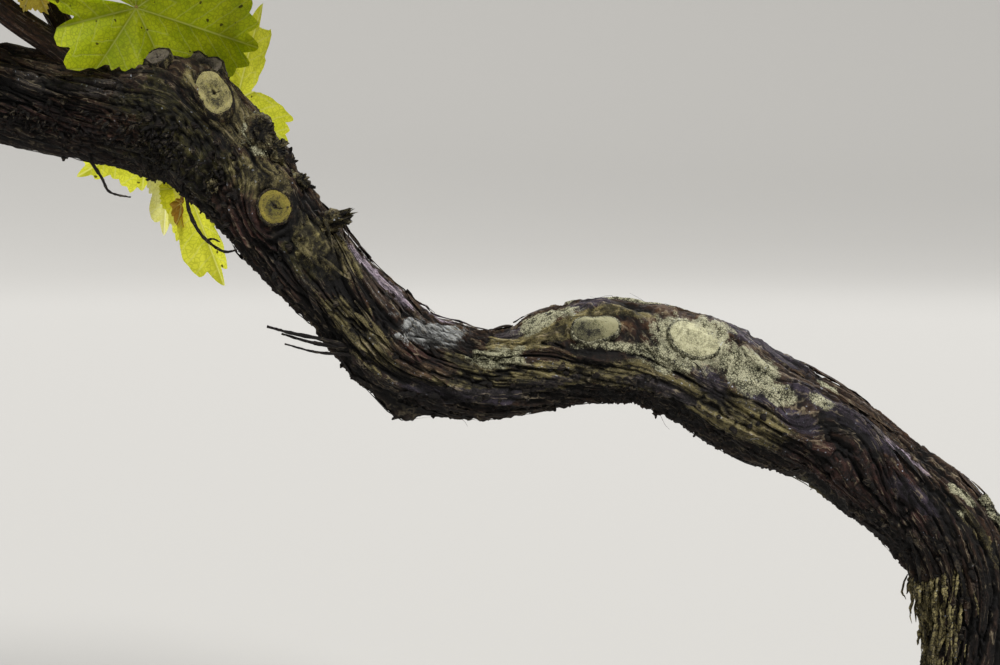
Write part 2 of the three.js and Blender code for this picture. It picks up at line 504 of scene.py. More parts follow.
class Shader:
    """One material, and the way its nodes are added."""

    def __init__(self, name: str, specular: float = 0.5) -> None:
        """Makes the material with a bare Principled shader and its specular level.

        Args:
            name: the material's name.
            specular: the level of its reflections.
        """
        self.material = bpy.data.materials.new(name)
        self.material.use_nodes = True
        self.tree = self.material.node_tree
        self.surface = self.tree.nodes["Principled BSDF"]
        self.output = self.tree.nodes["Material Output"]
        self.surface.inputs["Specular IOR Level"].default_value = specular

    def node(self, kind: str, settings: dict | None = None, sockets: dict | None = None,
             out: int | str = 0) -> Value:
        """Adds a node.

        Args:
            kind: the node's type.
            settings: its settings, set first; stops are a ramp's places and colours.
            sockets: values or links of its inputs, by name or number.
            out: the output that is returned.

        Returns:
            The chosen output.
        """
        made = self.tree.nodes.new(kind)
        for key, value in (settings or {}).items():
            if key == "stops":
                self._set_stops(made.color_ramp.elements, value)
            else:
                setattr(made, key, value)
        for key, value in (sockets or {}).items():
            self.feed(made.inputs[key], value)
        return Value(self, made.outputs[out])

    @staticmethod
    def _set_stops(elements: bpy.types.ColorRampElements, stops: Sequence) -> None:
        """Sets a ramp's stops.

        Args:
            elements: the ramp's own stops.
            stops: the place and colour of each.
        """
        while len(elements) < len(stops):
            elements.new(0.5)
        for element, (place, colour) in zip(elements, stops):
            element.position = place
            element.color = colour

    def feed(self, socket: bpy.types.NodeSocket, value: "Value | float | Sequence") -> None:
        """Links a value to an input socket, or sets the socket to a number or colour.

        Args:
            socket: the input.
            value: what it takes.
        """
        if isinstance(value, Value):
            self.tree.links.new(value.socket, socket)
        else:
            socket.default_value = value

    def set(self, **sockets: "Value | float | Sequence") -> None:
        """Feeds sockets of the Principled shader; an underscore stands for a space."""
        for key, value in sockets.items():
            self.feed(self.surface.inputs[key.replace("_", " ")], value)

    def field(self, name: str, vector: bool = False) -> Value:
        """What the mesh holds under a name at each vertex."""
        out = "Vector" if vector else "Fac"
        return self.node("ShaderNodeAttribute", {"attribute_name": name}, out=out)

    def cells(self, place: Value, scale: float) -> Value:
        """How far the nearest border between irregular cells is, in cells."""
        settings = {"feature": "DISTANCE_TO_EDGE"}
        return self.node("ShaderNodeTexVoronoi", settings, {"Vector": place, "Scale": scale})

    def noise(self, place: Value, scale: float, detail: float = 2.0) -> Value:
        """Noise from 0 to 1, at a scale in cells a metre."""
        sockets = {"Vector": place, "Scale": scale, "Detail": detail, "Roughness": 0.6}
        return self.node("ShaderNodeTexNoise", {"noise_dimensions": "3D"}, sockets)

    def vector(self, operation: str, *sides: "Value | Point", out: int = 0) -> Value:
        """A Vector Math node over the given sides."""
        settings = {"operation": operation}
        return self.node("ShaderNodeVectorMath", settings, dict(enumerate(sides)), out)

    def fibres(self, grain: Value, squeeze: float, scale: float, detail: float) -> Value:
        """Noise drawn out along the grain."""
        return self.noise(self.vector("MULTIPLY", grain, (squeeze, 1, 1)), scale, detail)

    def splits(self, grain: Value, squeeze: float, scale: float, low: float, high: float) -> Value:
        """How far a place is from splits along the grain, as a step from low to high."""
        return self.cells(self.vector("MULTIPLY", grain, (squeeze, 1, 1)), scale).step(low, high)

    def blend(self, share: "Value | float", a: Value, b: "Value | str", way: str = "MIX") -> Value:
        """Mixes a colour, or the colour of a code, over another by a share.

        Args:
            share: how much of the second shows.
            a: the colour below.
            b: the colour above.
            way: the Mix node's blend type.

        Returns:
            The mixed colour.
        """
        settings = {"data_type": "RGBA", "blend_type": way}
        over = paint(b) if isinstance(b, str) else b
        return self.node("ShaderNodeMix", settings, {0: share, 6: a, 7: over}, out=2)

    def ramp(self, value: Value, *stops: tuple[float, str]) -> Value:
        """A colour that goes from stop to stop as a value rises."""
        painted = [(place, paint(code)) for place, code in stops]
        return self.node("ShaderNodeValToRGB", {"stops": painted}, {"Fac": value})

    def cover(self, layer: Value, share: float) -> None:
        """Mixes another shader over the Principled one."""
        sockets = {0: share, 1: Value(self, self.surface.outputs[0]), 2: layer}
        self.feed(self.output.inputs["Surface"], self.node("ShaderNodeMixShader", None, sockets))

    def bump(self, height: Value, distance: float, strength: float) -> None:
        """Feeds the normal from a height."""
        sockets = {"Height": height, "Distance": distance, "Strength": strength}
        self.set(Normal=self.node("ShaderNodeBump", None, sockets))


class Cover(Enum):
    """What shows on the bark in places; each value is a field of the mesh."""

    LICHEN = "lichen"
    MOSS = "moss"
    ALGAE = "algae"
    BARE = "bare"
    SILVER = "silver"
    STRAW = "straw"
    RUST = "rust"
    PLUM = "plum"
    SLATE = "slate"


# height darkens the bark's hollows and under darkens its underside with painted shade; top makes upward
# faces paler with painted light.
BARK_FIELDS = ("height", "plate", "under", "top", *(cover.value for cover in Cover))


@dataclass(frozen=True)
class BarkFinish:
    """Old bark: near black with painted shade in its fissures, brown, olive or purple plates, and grey
    crests that are partly weathering and partly painted highlight.
    """

    name: str = "old_bark"
    fissure_shade: str = "060403"
    shade: str = "18110c"
    body: str = "452f1f"
    crest: str = "7c6850"
    bleach_and_highlight: str = "b6a688"
    purple: str = "4e4254"
    stone: str = "7e776c"
    umber: str = "75552c"
    glint: str = "c3c9d6"
    roughness: float = 0.82

    # Each cover's dark and pale colour, the most of it that shows, and how much paler it is.
    COVERS = {
        Cover.MOSS: ("121208", "4c4a1c", 0.75, 0.0),
        Cover.ALGAE: ("302a18", "a69a66", 0.78, 0.0),
        Cover.RUST: ("190b09", "5c3931", 0.75, 0.0),
        Cover.STRAW: ("4d4422", "c4b67c", 0.9, 0.0),
        Cover.SILVER: ("2b2b2a", "b4b6b4", 0.92, 0.0),
        Cover.SLATE: ("191615", "5b5450", 0.9, 0.0),
        Cover.PLUM: ("16131a", "4b4352", 0.86, 0.0),
        Cover.BARE: ("3c313c", "c6b4c2", 0.9, 0.1),
        Cover.LICHEN: ("3c3b26", "bab798", 0.93, 0.17),
    }

    def material(self) -> Material:
        """Builds the material, which reads the grain and the fields of BARK_FIELDS.

        Returns:
            The material.
        """
        shader = Shader(self.name, specular=0.3)
        grain = shader.field("grain", vector=True)
        place = shader.node("ShaderNodeTexCoord", out="Object")
        height, plate, under, top = (shader.field(name) for name in BARK_FIELDS[:4])
        lichen = shader.field(Cover.LICHEN.value)
        fibre = shader.fibres(grain, 0.08, 1400, 3)
        strand = shader.fibres(grain, 0.05, 420, 2)
        crumb, blotch = shader.noise(place, 1300, 4), shader.noise(place, 240, 4)
        patchy = shader.noise(place, 110, 3)
        torn = shader.node("ShaderNodeTexNoise", None, {"Vector": place, "Scale": 170.0}, out=1)
        frayed = shader.vector("MULTIPLY_ADD", torn, (0.006, 0.0022, 0.0022), grain)
        cracks = (1 - shader.splits(frayed, 0.06, 230, 0.04, 0.26)) * blotch.step(0.34, 0.5)
        cracks = cracks.either((1 - shader.splits(frayed, 0.09, 430, 0.02, 0.3)) * 0.5)
        tone = height + 0.42 * (fibre - 0.5) + 0.42 * (strand - 0.5) + 0.3 * (crumb - 0.5)
        # Painted light: bark that faces up is made paler.
        tone = tone + 0.2 * top - 0.05
        # The ramp runs from painted shade in the hollows, where height is low, through the plates' own
        # colours to crests that are partly grey weathering and partly painted highlight.
        colour = shader.ramp(tone, (0.2, self.fissure_shade), (0.4, self.shade), (0.62, self.body),
                             (0.84, self.crest), (1.0, self.bleach_and_highlight))
        kind = plate * 0.6 + shader.fibres(grain, 0.4, 50, 2) * 0.4
        hue = shader.ramp(kind, (0.34, self.umber), (0.48, self.stone), (0.62, self.purple))
        colour = shader.blend(0.7, colour, hue, "OVERLAY")
        crust = 1 - shader.cells(place, 620).step(0.02, 0.2)
        for cover, (dark, pale, most, lift) in self.COVERS.items():
            here = shader.field(cover.value) + 1.3 * (blotch - 0.5) + 1.1 * (crumb - 0.5)
            shown = (here + 0.8 * (height - 0.5)).step(0.44, 0.64) * most
            own = tone * 0.5 + 0.5 * crumb + 0.5 * (patchy - 0.5) + lift
            if cover is Cover.SILVER:
                own = own + 0.9 * (height - 0.6)
            if cover is Cover.LICHEN:
                own = own - 0.27 * crust - 0.22 * blotch.step(0.5, 0.4)
            tint = shader.ramp(own, (0.26, self.fissure_shade), (0.4, dark), (0.72, pale))
            colour = shader.blend(shown, colour, tint)
        open_bark = 1 - 0.8 * lichen
        # Painted shade in the hairline cracks, less of it under lichen.
        colour = shader.blend(cracks * open_bark * 0.85, colour, self.fissure_shade)
        # Pale fibre lines on raised bark: partly the fibres' own colour, partly painted highlight.
        thread = 1 - shader.splits(frayed, 0.05, 300, 0.012, 0.06)
        thread = thread * patchy.step(0.46, 0.6) * height.step(0.3, 0.6)
        thread = thread * (1 - 0.7 * shader.field(Cover.MOSS.value))
        colour = shader.blend(thread * open_bark * 0.4, colour, self.bleach_and_highlight)
        # Painted shade: the underside is darkened towards near black.
        colour = shader.blend(under * 0.5, colour, self.fissure_shade)
        wet = shader.noise(place, 160, 2).step(0.6, 0.68) * height.step(0.5, 0.8)
        # Painted glints: small bluish-white highlights put into the base colour on wet bark and on high
        # crests, but not underneath.
        glint = shader.noise(place, 520, 0).step(0.75, 0.8) * wet.either(height.step(0.6, 0.9))
        glint = glint * (1 - under)
        colour = shader.blend(glint * 0.8, colour, self.glint)
        shader.set(Base_Color=colour, Roughness=self.roughness - 0.45 * wet.either(glint))
        relief = 0.5 * fibre + 0.3 * strand + 0.6 * crumb + 0.3 * blotch - 0.8 * cracks
        shader.bump(relief + 0.5 * thread, 0.0012, 1.0)
        return shader.material


@dataclass(frozen=True)
class CutFinish:
    """A weathered pruning cut: rings, checks and a dark pith."""

    name: str
    pale: str
    dark: str
    grown_over: str
    cover: float = 0.3
    rings: float = 0.03
    band: float = 0.0
    rim: float = 0.0
    crust: float = 0.0
    # lean: a slope of tone across the face, with painted shade on one side and painted light on the
    # other.
    lean: tuple[float, float] = (0.0, 0.0)

    def material(self) -> Material:
        """Builds the material, which reads the fields height, ring and grain.

        Returns:
            The material.
        """
        shader = Shader(self.name)
        place = shader.field("grain", vector=True)
        ring = shader.field("ring")
        crumb, blotch = shader.noise(place, 1300, 4), shader.noise(place, 320, 3)
        rings = ring.math("SINE", ring * 34 + blotch * 13)
        band = 1 - (abs(ring - 0.4) * 6).clamped()
        crust = 1 - shader.cells(place, 620).step(0.02, 0.2)
        # height darkens the face where it lies deeper, in its checks, groove and pith: painted shade in
        # the hollows.
        tone = 0.5 * shader.field("height") + self.rings * rings
        tone = tone + 0.7 * (crumb - 0.5) + 0.8 * (blotch - 0.5) + 0.24
        tone = tone - self.band * band - self.crust * crust
        tone = tone + self.rim * (ring.step(0.55, 0.95) - 0.5)
        tone = tone + 0.6 * (shader.noise(place, 100, 1) - 0.5)
        # Painted shade and light: the face grows darker towards one side and lighter towards the other,
        # by lean.
        tone = tone + shader.vector("DOT_PRODUCT", place, (0.0, *self.lean), out=1)
        colour = shader.ramp(tone, (0.1, "0d0a07"), (0.32, self.dark), (0.74, self.pale))
        crust = shader.ramp(tone, (0.1, "15150c"), (0.7, self.grown_over))
        over = (blotch + 0.5 * (crumb - 0.5)).step(0.62 - self.cover, 0.7 - self.cover)
        shader.set(Base_Color=shader.blend(over, colour, crust), Roughness=0.85)
        shader.bump(crumb + 0.4 * blotch, 0.0009, 0.9)
        return shader.material


@dataclass(frozen=True)
class Knot:
    """A swelling, dent or scar that the grain flows round, at x and z from the front."""

    x: float
    z: float
    radius: float
    lift: float
    collar: float = 0.0
    behind: bool = False


@dataclass(frozen=True)
class Patch:
    """A cover on part of the bark, at x and z from the front; one that is lifted is square."""

    x: float
    z: float
    long: float
    wide: float
    slant: float = 0.0
    lift: float = 0.0


STRETCHES: dict[str, list[Station]] = {
    "trunk_foot": [(0, 0, 0, 62), (0, 0, 45, 48.36), (-3, 4, 110, 40.28)],
    "trunk_leg": [(-6, 8, 190, 38), (-2, 10, 270, 36.86), (-3, 10, 350, 38.76)],
    "trunk_shoulder": [(-6, 8, 418, 38), (-13, 8, 462, 37), (-31, 8, 496, 36)],
    "trunk_slope": [(-60, 6, 522, 34.5), (-93, 2, 546, 34.5), (-125, -2, 569, 35)],
    "trunk_hump": [(-164, -5, 588, 37), (-206, -5, 610, 36), (-242, -2, 624, 33.5),
                   (-273, 0, 627, 35)],
    "trunk_dip": [(-305, 2, 622, 33), (-331, 2, 613, 29), (-357, 0, 610, 29),
                  (-389, -2, 615, 32)],
    "trunk_climb": [(-418, -4, 628, 34.5), (-452, -4, 662, 31), (-486, -2, 698, 33.5)],
    "trunk_head": [(-519, 0, 738, 35), (-544, 0, 768, 40), (-573, 2, 788, 43)],
    "arm": [(-616, 4, 793, 34.5), (-653, 8, 797, 32.5), (-695, 12, 806, 31.5),
            (-777, 10, 819, 26), (-861, 6, 824, 20)],
}

KNOTS = (
    Knot(-540, 803, 12, 0, collar=5),
    Knot(-500, 727, 14.5, 0, collar=4),
    Knot(-212, 638, 23, 0, collar=1),
    Knot(-280, 646, 19, 1, collar=1.5),
    Knot(-470, 696, 13, 3.5),
    Knot(-413, 590, 12, 9),
    Knot(-112, 563, 22, 4),
    Knot(-128, 532, 23, -15),
    Knot(-146, 592, 10, 2, collar=2),
    Knot(-560, 757, 18, 2),
    Knot(-494, 763, 13, 5),
    Knot(-340, 624, 14, 2, behind=True),
    Knot(-200, 600, 16, 4, behind=True),
    Knot(-520, 745, 18, 5, behind=True),
    Knot(-590, 800, 16, 4, behind=True),
    Knot(-4, 300, 17, 5),
    Knot(-8, 150, 14, 3, behind=True),
    Knot(4, 236, 13, 3, behind=True),
)

# Each cover's patches: the fields of Patch, in millimetres.
PATCHES = {
    Cover.LICHEN: (
        (-211, 637, 27, 20), (-180, 619, 24, 14), (-230, 622, 14, 8),
        (-160, 603, 15, 7), (-131, 596, 9, 5), (-120, 604, 7, 4),
        (-270, 634, 26, 4, 0.1), (-240, 628, 20, 6), (-316, 650, 20, 8),
        (-250, 662, 40, 3.5), (-350, 624, 24, 8), (-27, 527, 13, 4),
        (-29, 517, 3.2, 2.6), (-514, 770, 10, 8),
    ),
    Cover.PLUM: (
        (-165, 629, 40, 8, 0, 1.5), (-203, 610, 15, 8, 0.4),
        (-172, 605, 16, 8), (-284, 659, 14, 6), (-235, 606, 30, 5),
        (-330, 603, 40, 5), (-368, 599, 44, 6), (-335, 640, 26, 5),
        (-145, 583, 16, 6), (-64, 530, 26, 7), (-108, 584, 44, 9),
    ),
    Cover.ALGAE: (
        (-18, 505, 30, 4), (-508, 742, 26, 14), (-465, 700, 30, 16),
        (-440, 640, 34, 14), (-360, 608, 60, 9), (-362, 621, 34, 7),
        (-300, 612, 40, 8), (-245, 612, 36, 12), (-190, 588, 44, 15),
        (-300, 645, 30, 9), (-340, 634, 28, 12), (-264, 656, 22, 5),
        (-525, 785, 30, 14), (-500, 765, 16, 10),
    ),
    Cover.MOSS: ((-575, 775, 44, 34), (-540, 745, 30, 26), (-475, 695, 22, 14)),
    Cover.BARE: (
        (-428, 679, 34, 8), (-392, 654, 26, 5), (-77, 563, 12, 2.2),
        (-60, 549, 10, 1.8),
    ),
    Cover.RUST: (
        (-120, 546, 40, 20), (-84, 536, 46, 18), (-400, 622, 26, 9),
        (-640, 785, 60, 14), (-520, 720, 30, 14),
    ),
    Cover.SLATE: ((-637, 808, 36, 6, 0, 2.6),),
    Cover.SILVER: ((-394, 642, 27, 11, -0.3, 1.8),),
    Cover.STRAW: ((-46, 425, 46, 18),),
}


@dataclass
class Trunk:
    """The trunk and the arm: one grown surface, cut into pieces where the solids are."""

    winding: float = 0.21
    root_lobes: int = 5
    flare_height: float = 0.09
    ring_step: float = 0.0011
    coarse_step: float = 0.002
    COARSE = ("trunk_foot", "trunk_leg", "arm")
    around: int = 288
    end_rings: int = 23
    knot_stretch: float = 1.35
    silver_turn: int = 454
    arm_stretch: float = 1.7
    WAVES = {"sway": (11, 4), "weave": (12, 9), "sinew": (13, 6), "cord": (14, 15),
             "fibre": (15, 96), "hair": (16, 170), "crumb": (17, 44), "grit": (18, 96),
             "patch": (19, 24), "thread": (20, 40)}
    SLAB = Layer(31, 21, 88, 1.2, 1.3, 3.0, 0.2, 0.02)
    CHIP = Layer(32, 44, 40, 0.65, 0.75, 1.5, 0.28, 0.03)
    FLECK = Layer(33, 84, 19, 0.35, 0.4, 0.6, 0.4, 0.05)
    STREWN = (Cover.LICHEN, Cover.ALGAE, Cover.ALGAE, Cover.SILVER, Cover.BARE, Cover.RUST)
    # How many patches are strewn on the far side and under the leg, how far along, between
    # which angles in degrees, and how wide the widest is.
    STREWN_WHERE = ((46, None, (24, 156), 14), (14, 0.36, (200, 340), 12))

    def __post_init__(self) -> None:
        """Lays the course and the bark's lattices, and places knots and patches."""
        self.course = Course([s for stretch in STRETCHES.values() for s in stretch])
        self.waves = {name: Grain(*made) for name, made in self.WAVES.items()}
        self.slabs, self.chips, self.flecks = map(Plates, (self.SLAB, self.CHIP, self.FLECK))
        self.arm_start = self.span("arm")[0] / MM
        self.knots = [(knot, *self.locate(knot.x, knot.z, knot.behind)) for knot in KNOTS]
        self.patches = [(cover, Patch(*row), *self.locate(*row[:2]))
                        for cover, rows in PATCHES.items() for row in rows]
        self._strew()

    def _strew(self) -> None:
        """Strews patches over the sides that the front doesn't show."""
        rng = np.random.default_rng(5)
        for count, until, degrees, widest in self.STREWN_WHERE:
            for _ in range(count):
                length = rng.uniform(0.03, until or self.course.length)
                angle = math.radians(rng.uniform(*degrees))
                cover = self.STREWN[rng.integers(len(self.STREWN))]
                patch = Patch(0, 0, rng.uniform(10, 45), rng.uniform(4, widest))
                self.patches.append((cover, patch, length, angle))

    def locate(self, x: float, z: float, behind: bool = False) -> tuple[float, float]:
        """Where a mark lies that shows at x and z from the front.

        Args:
            x: millimetres along X.
            z: millimetres above the ground.
            behind: whether it lies on the far side instead.

        Returns:
            The length along the course in metres, and the angle round it.
        """
        centres, _, across, _ = self.course.frame(self.course.lengths)
        offset = np.array([x * MM, 0, z * MM]) - centres
        offset[:, 1] = 0
        nearest = int(np.argmin(np.linalg.norm(offset, axis=1)))
        out = float(offset[nearest] @ across[nearest])
        length = float(self.course.lengths[nearest])
        angle = math.acos(max(-1.0, min(1.0, out / float(self.course.radius(length)))))
        return length, angle if behind else TURN - angle

    def spot(self, x: float, z: float) -> tuple[Array, Array, Array]:
        """The wood's surface at x and z from the front, its outward way and the course's way.

        Args:
            x: millimetres along X.
            z: millimetres above the ground.

        Returns:
            The place and the two directions.
        """
        length, angle = (np.array([each]) for each in self.locate(x, z))
        base, out, _ = self.surface(length, angle, "bulk")
        return base[0], out[0], self.course.frame(length)[1][0]

    def sinews(self, angle: Array, length: Array, height: Array) -> Array:
        """The share by which the wood bulges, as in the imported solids.

        Args:
            angle: angles round the course.
            length: lengths in metres.
            height: heights above the ground in metres.

        Returns:
            Shares of the radius.
        """
        winding = length / self.winding
        wood = 0.055 * np.cos(2 * (angle - winding))
        wood += 0.035 * np.cos(3 * angle + 1.7 * winding)
        wood += 0.02 * np.cos(5 * (angle - 0.6 * winding) + 1)
        roots = 0.14 * np.exp(-height / self.flare_height) * np.cos(self.root_lobes * angle)
        return 1 + wood + roots

    def _round_knots(self, mm: Array, flow: Array, reach: Array) -> tuple[Array, ...]:
        """Leads the grain round the knots.

        Args:
            mm: millimetres along the course.
            flow: the grain's angle with no knots.
            reach: the wood's radius, in millimetres.

        Returns:
            The grain's angle, how far the knots swell, how calm the bark is over scars, and
            the waves of the bark that has rolled in over them.
        """
        swell, calm, rings = np.zeros_like(mm), np.zeros_like(mm), np.zeros_like(mm)
        for knot, at, turn in self.knots:
            size = knot.radius
            down = (mm - at / MM) / self.knot_stretch
            beside = wrapped(flow - (turn - at / self.winding)) * reach
            gap = np.hypot(down, beside)
            pull = np.minimum(1.0, (size / np.maximum(gap, 1e-6)) ** 2)
            pull = pull * (0.72 if knot.collar else 0.5)
            flow = flow - beside / reach * pull * smooth(5 * size, 2 * size, gap)
            swell += knot.lift * smooth(1.25 * size, 0, gap)
            swell += knot.collar * bell(gap - size, 0.3 * size)
            if knot.collar:
                calm = np.maximum(calm, smooth(1.3 * size, 0.8 * size, gap))
                rings += smooth(1.8 * size, 0.9 * size, gap) * np.sin(2.1 * gap)
        return flow, swell, calm, rings

    def bark(self, length: Array, angle: Array, radius: Array, under: Array) -> dict[str, Array]:
        """The bark's relief and covers.

        Args:
            length: along the course, in metres.
            angle: round it.
            radius: of the wood there, in metres.
            under: how far it is on the underside, from 0 to 1.

        Returns:
            The relief and the wood's bulk in metres, the height and the plates' tone from 0
            to 1, the grain's own angle under "flow", and each cover's share under its name.
        """
        w = self.waves
        mm, reach = length / MM, radius / MM
        flow, swell, calm, rings = self._round_knots(mm, angle - length / self.winding, reach)
        turns = flow / TURN
        turns = turns + 0.02 * w["sway"](mm / 95, turns) + 0.012 * w["weave"](mm / 42, turns)
        covers, ledge = self._covers(mm, angle, reach, turns)
        beyond = np.maximum(mm - self.arm_start, 0)
        mm = mm - beyond * (1 - 1 / self.arm_stretch)
        frayed = turns + 0.0016 * w["fibre"](mm / 14, turns)
        crooked = mm + 14 * w["crumb"](mm / 9, frayed)
        slab, level = self.slabs(crooked, frayed)
        chip, chip_level = self.chips(crooked, frayed)
        flake = chip + self.flecks(crooked, frayed)[0]
        fibre = 0.35 * w["fibre"](mm / 24, turns) + 0.18 * w["hair"](mm / 13, turns)
        thread = 0.5 * ridges(w["thread"](mm / 36, turns))
        crumb = w["crumb"](mm / 5.2, turns) + 0.6 * w["grit"](mm / 2.4, turns)
        chunk = ridges(w["crumb"](mm / 6.5, turns)) - 0.5
        lumpy = smooth(150, 420, mm) * (1 - 0.7 * smooth(0, 40, beyond))
        crumbly = np.maximum(np.maximum(covers["moss"], 0.7 * calm), 0.75 * under * lumpy)
        shaggy = 1 - 0.75 * crumbly - 0.7 * covers["bare"] - 0.35 * covers["lichen"]
        shaggy = np.maximum(shaggy - 0.6 * covers["plum"], 0.15)
        relief = 2.6 * (ridges(w["sinew"](mm / 120, turns)) - 0.45)
        relief = relief + 1.5 * (ridges(w["cord"](mm / 62, turns)) - 0.4) + swell + ledge
        fine = slab + flake * (1 - 0.6 * smooth(0.3, 0.7, level)) + thread
        fine = shaggy * fine + fibre + 0.25 * crumb
        fine += crumbly * (1.5 * crumb + 2.2 * chunk) + 0.25 * rings
        fine += covers["straw"] * (1.2 * ridges(w["thread"](mm / 30, turns)) - 0.6)
        leaning = turns + mm / self.silver_turn
        streaks = 1.3 * ridges(w["thread"](mm / 60, leaning)) + ridges(w["fibre"](mm / 40, leaning))
        fine = mix(fine, 1.7 * streaks - 1.9, covers["silver"])
        fine += covers["lichen"] * (0.5 + 0.35 * w["grit"](mm / 3, turns)) - 0.9 * covers["bare"]
        # The bark's material turns low height into painted shade in the grooves.
        height = np.clip(0.52 + 0.13 * (fine + 0.35) + 0.05 * (relief - swell), 0, 1)
        return {"relief": (relief + fine) * MM, "bulk": relief * MM, "height": height,
                "plate": 0.5 + 0.4 * level + 0.1 * chip_level, "flow": turns * TURN, **covers}

    def _covers(self, mm: Array, angle: Array, reach: Array, turns: Array
                ) -> tuple[dict[str, Array], Array]:
        """Each cover's share at each place, with ragged edges, and the ledges' height.

        Args:
            mm: lengths along the course in millimetres.
            angle: angles round it.
            reach: the radius in millimetres.
            turns: the grain's angles in turns.

        Returns:
            The shares by the cover's name, and the height in millimetres.
        """
        ragged = 0.3 * self.waves["patch"](mm / 10, turns)
        shares = {cover.value: np.zeros_like(mm) for cover in Cover}
        ledge = np.zeros_like(mm)
        for cover, patch, at, turn in self.patches:
            down = (mm - at / MM) / patch.long
            beside = (wrapped(angle - turn) * reach - patch.slant * (mm - at / MM)) / patch.wide
            if patch.lift:
                gap = (np.abs(down) ** 6 + np.abs(beside) ** 6) ** (1 / 6)
                ledge += patch.lift * smooth(1.12, 0.98, gap + 0.12 * ragged)
            else:
                gap = np.hypot(down, beside)
            share = smooth(1.5, 0.45, gap + ragged)
            shares[cover.value] = np.maximum(shares[cover.value], share)
        return shares, ledge

    def surface(self, length: Array, angle: Array, relief: str = "relief"
                ) -> tuple[Array, Array, dict[str, Array]]:
        """The bark's surface.

        Args:
            length: along the course, in metres.
            angle: round it, of the same shape.
            relief: relief for the bark as it is, or bulk for the wood that it grows on.

        Returns:
            The points, the directions straight out of the wood, and the bark's fields.
        """
        centre, _, across, up = self.course.frame(length)
        radius = self.course.radius(length)
        out = across * np.cos(angle)[..., None] + up * np.sin(angle)[..., None]
        under = smooth(-0.2, -0.85, out[..., 2])
        fields = self.bark(length, angle, radius, under)
        reach = radius * self.sinews(angle, length, centre[..., 2]) + fields[relief]
        # under and top say how far each place faces down and up; the bark's material paints shade by the
        # one and light by the other.
        fields["under"] = under
        fields["top"] = smooth(0.15, 0.85, out[..., 2])
        return centre + out * reach[..., None], out, fields

    def kept(self, fields: dict[str, Array], length: Array) -> dict[str, Array]:
        """The fields that the bark's material reads, one row a vertex.

        Args:
            fields: the surface's fields.
            length: lengths in metres.

        Returns:
            The fields by name.
        """
        grain = rolled(length, self.course.radius(length), fields["flow"])
        made = {key: fields[key].ravel() for key in BARK_FIELDS}
        return {**made, "grain": grain.reshape(-1, 3)}

    def span(self, name: str) -> tuple[float, float]:
        """The lengths between which a stretch runs.

        Args:
            name: the stretch.

        Returns:
            Its start and its end in metres.
        """
        names = list(STRETCHES)
        before = sum(len(STRETCHES[n]) for n in names[: names.index(name)])
        until = min(before + len(STRETCHES[name]), self.course.last)
        start, end = self.course.length_at(np.array([before, until], float))
        return float(start), float(end)

    def build(self, material: Material) -> None:
        """Builds each stretch as its own piece.

        Args:
            material: the bark.
        """
        for name in STRETCHES:
            start, end = self.span(name)
            step = self.coarse_step if name in self.COARSE else self.ring_step
            rings = round((end - start) / step) + 1
            pace = (end - start) / (rings - 1)
            lengths = np.linspace(start - pace, end + pace, rings + 2)
            if name == "trunk_foot":
                lengths[0] = 0
            grid = np.broadcast_arrays(lengths[:, None], round_angles(self.around))
            points, _, fields = self.surface(*grid)
            if name == "arm":
                points, fields, lengths = self._closed(points, fields, lengths)
            self._stretch(name, points, fields, lengths).build(name + "_bark", "bark", [name], material)

    def _closed(self, points: Array, fields: dict[str, Array], lengths: Array
                ) -> tuple[Array, dict[str, Array], Array]:
        """Rounds off the arm's end.

        Args:
            points: the arm's rings.
            fields: their fields.
            lengths: their lengths.

        Returns:
            The same, with rings that shrink added at the end.
        """
        turn = np.linspace(0, math.pi / 2, self.end_rings + 1)[1:, None, None]
        middle, along, _, _ = self.course.frame(lengths[-2:-1])
        radius = float(self.course.radius(self.course.length))
        ring = points[-2:-1] - middle
        rounded = middle + ring * np.cos(turn) * (1 - 0.02 * np.sin(turn))
        rounded = rounded + along * 0.55 * radius * np.sin(turn)
        points = np.concatenate((points[:-1], rounded, rounded[-1:]))
        added = self.end_rings + 1
        fields = {key: np.concatenate((each[:-1], np.repeat(each[-2:-1], added, axis=0)))
                  for key, each in fields.items()}
        more = lengths[-2] + 0.9 * radius * np.append(np.linspace(0, 1, added)[1:], 1.05)
        return points, fields, np.concatenate((lengths[:-1], more))

    def _stretch(self, name: str, points: Array, fields: dict[str, Array], lengths: Array) -> Mesh:
        """One stretch's mesh.

        Args:
            name: the stretch.
            points: its rings, and one more beyond each end for its normals.
            fields: their fields.
            lengths: their lengths.

        Returns:
            The mesh, closed with a flat face at the foot and at the arm's end.
        """
        down = np.gradient(points, axis=0)
        beside = np.roll(points, -1, axis=1) - np.roll(points, 1, axis=1)
        normals = unit(np.cross(beside, down))[1:-1]
        points = points[1:-1].copy()
        if name == "trunk_foot":
            points[0, :, 2] = 0
        rows, columns = points.shape[:2]
        kept = self.kept({key: each[1:-1] for key, each in fields.items()}, lengths[1:-1, None])
        faces, uv = [grid_faces(rows, columns)], grid_uv(rows, columns)
        if name in ("trunk_foot", "arm"):
            first = 0 if name == "trunk_foot" else (rows - 1) * columns
            faces.append(first + np.arange(columns)[None, ::1 if first else -1])
            uv = np.concatenate((uv, np.zeros((columns, 2))))
        return Mesh(points, faces, kept, uv, normals)


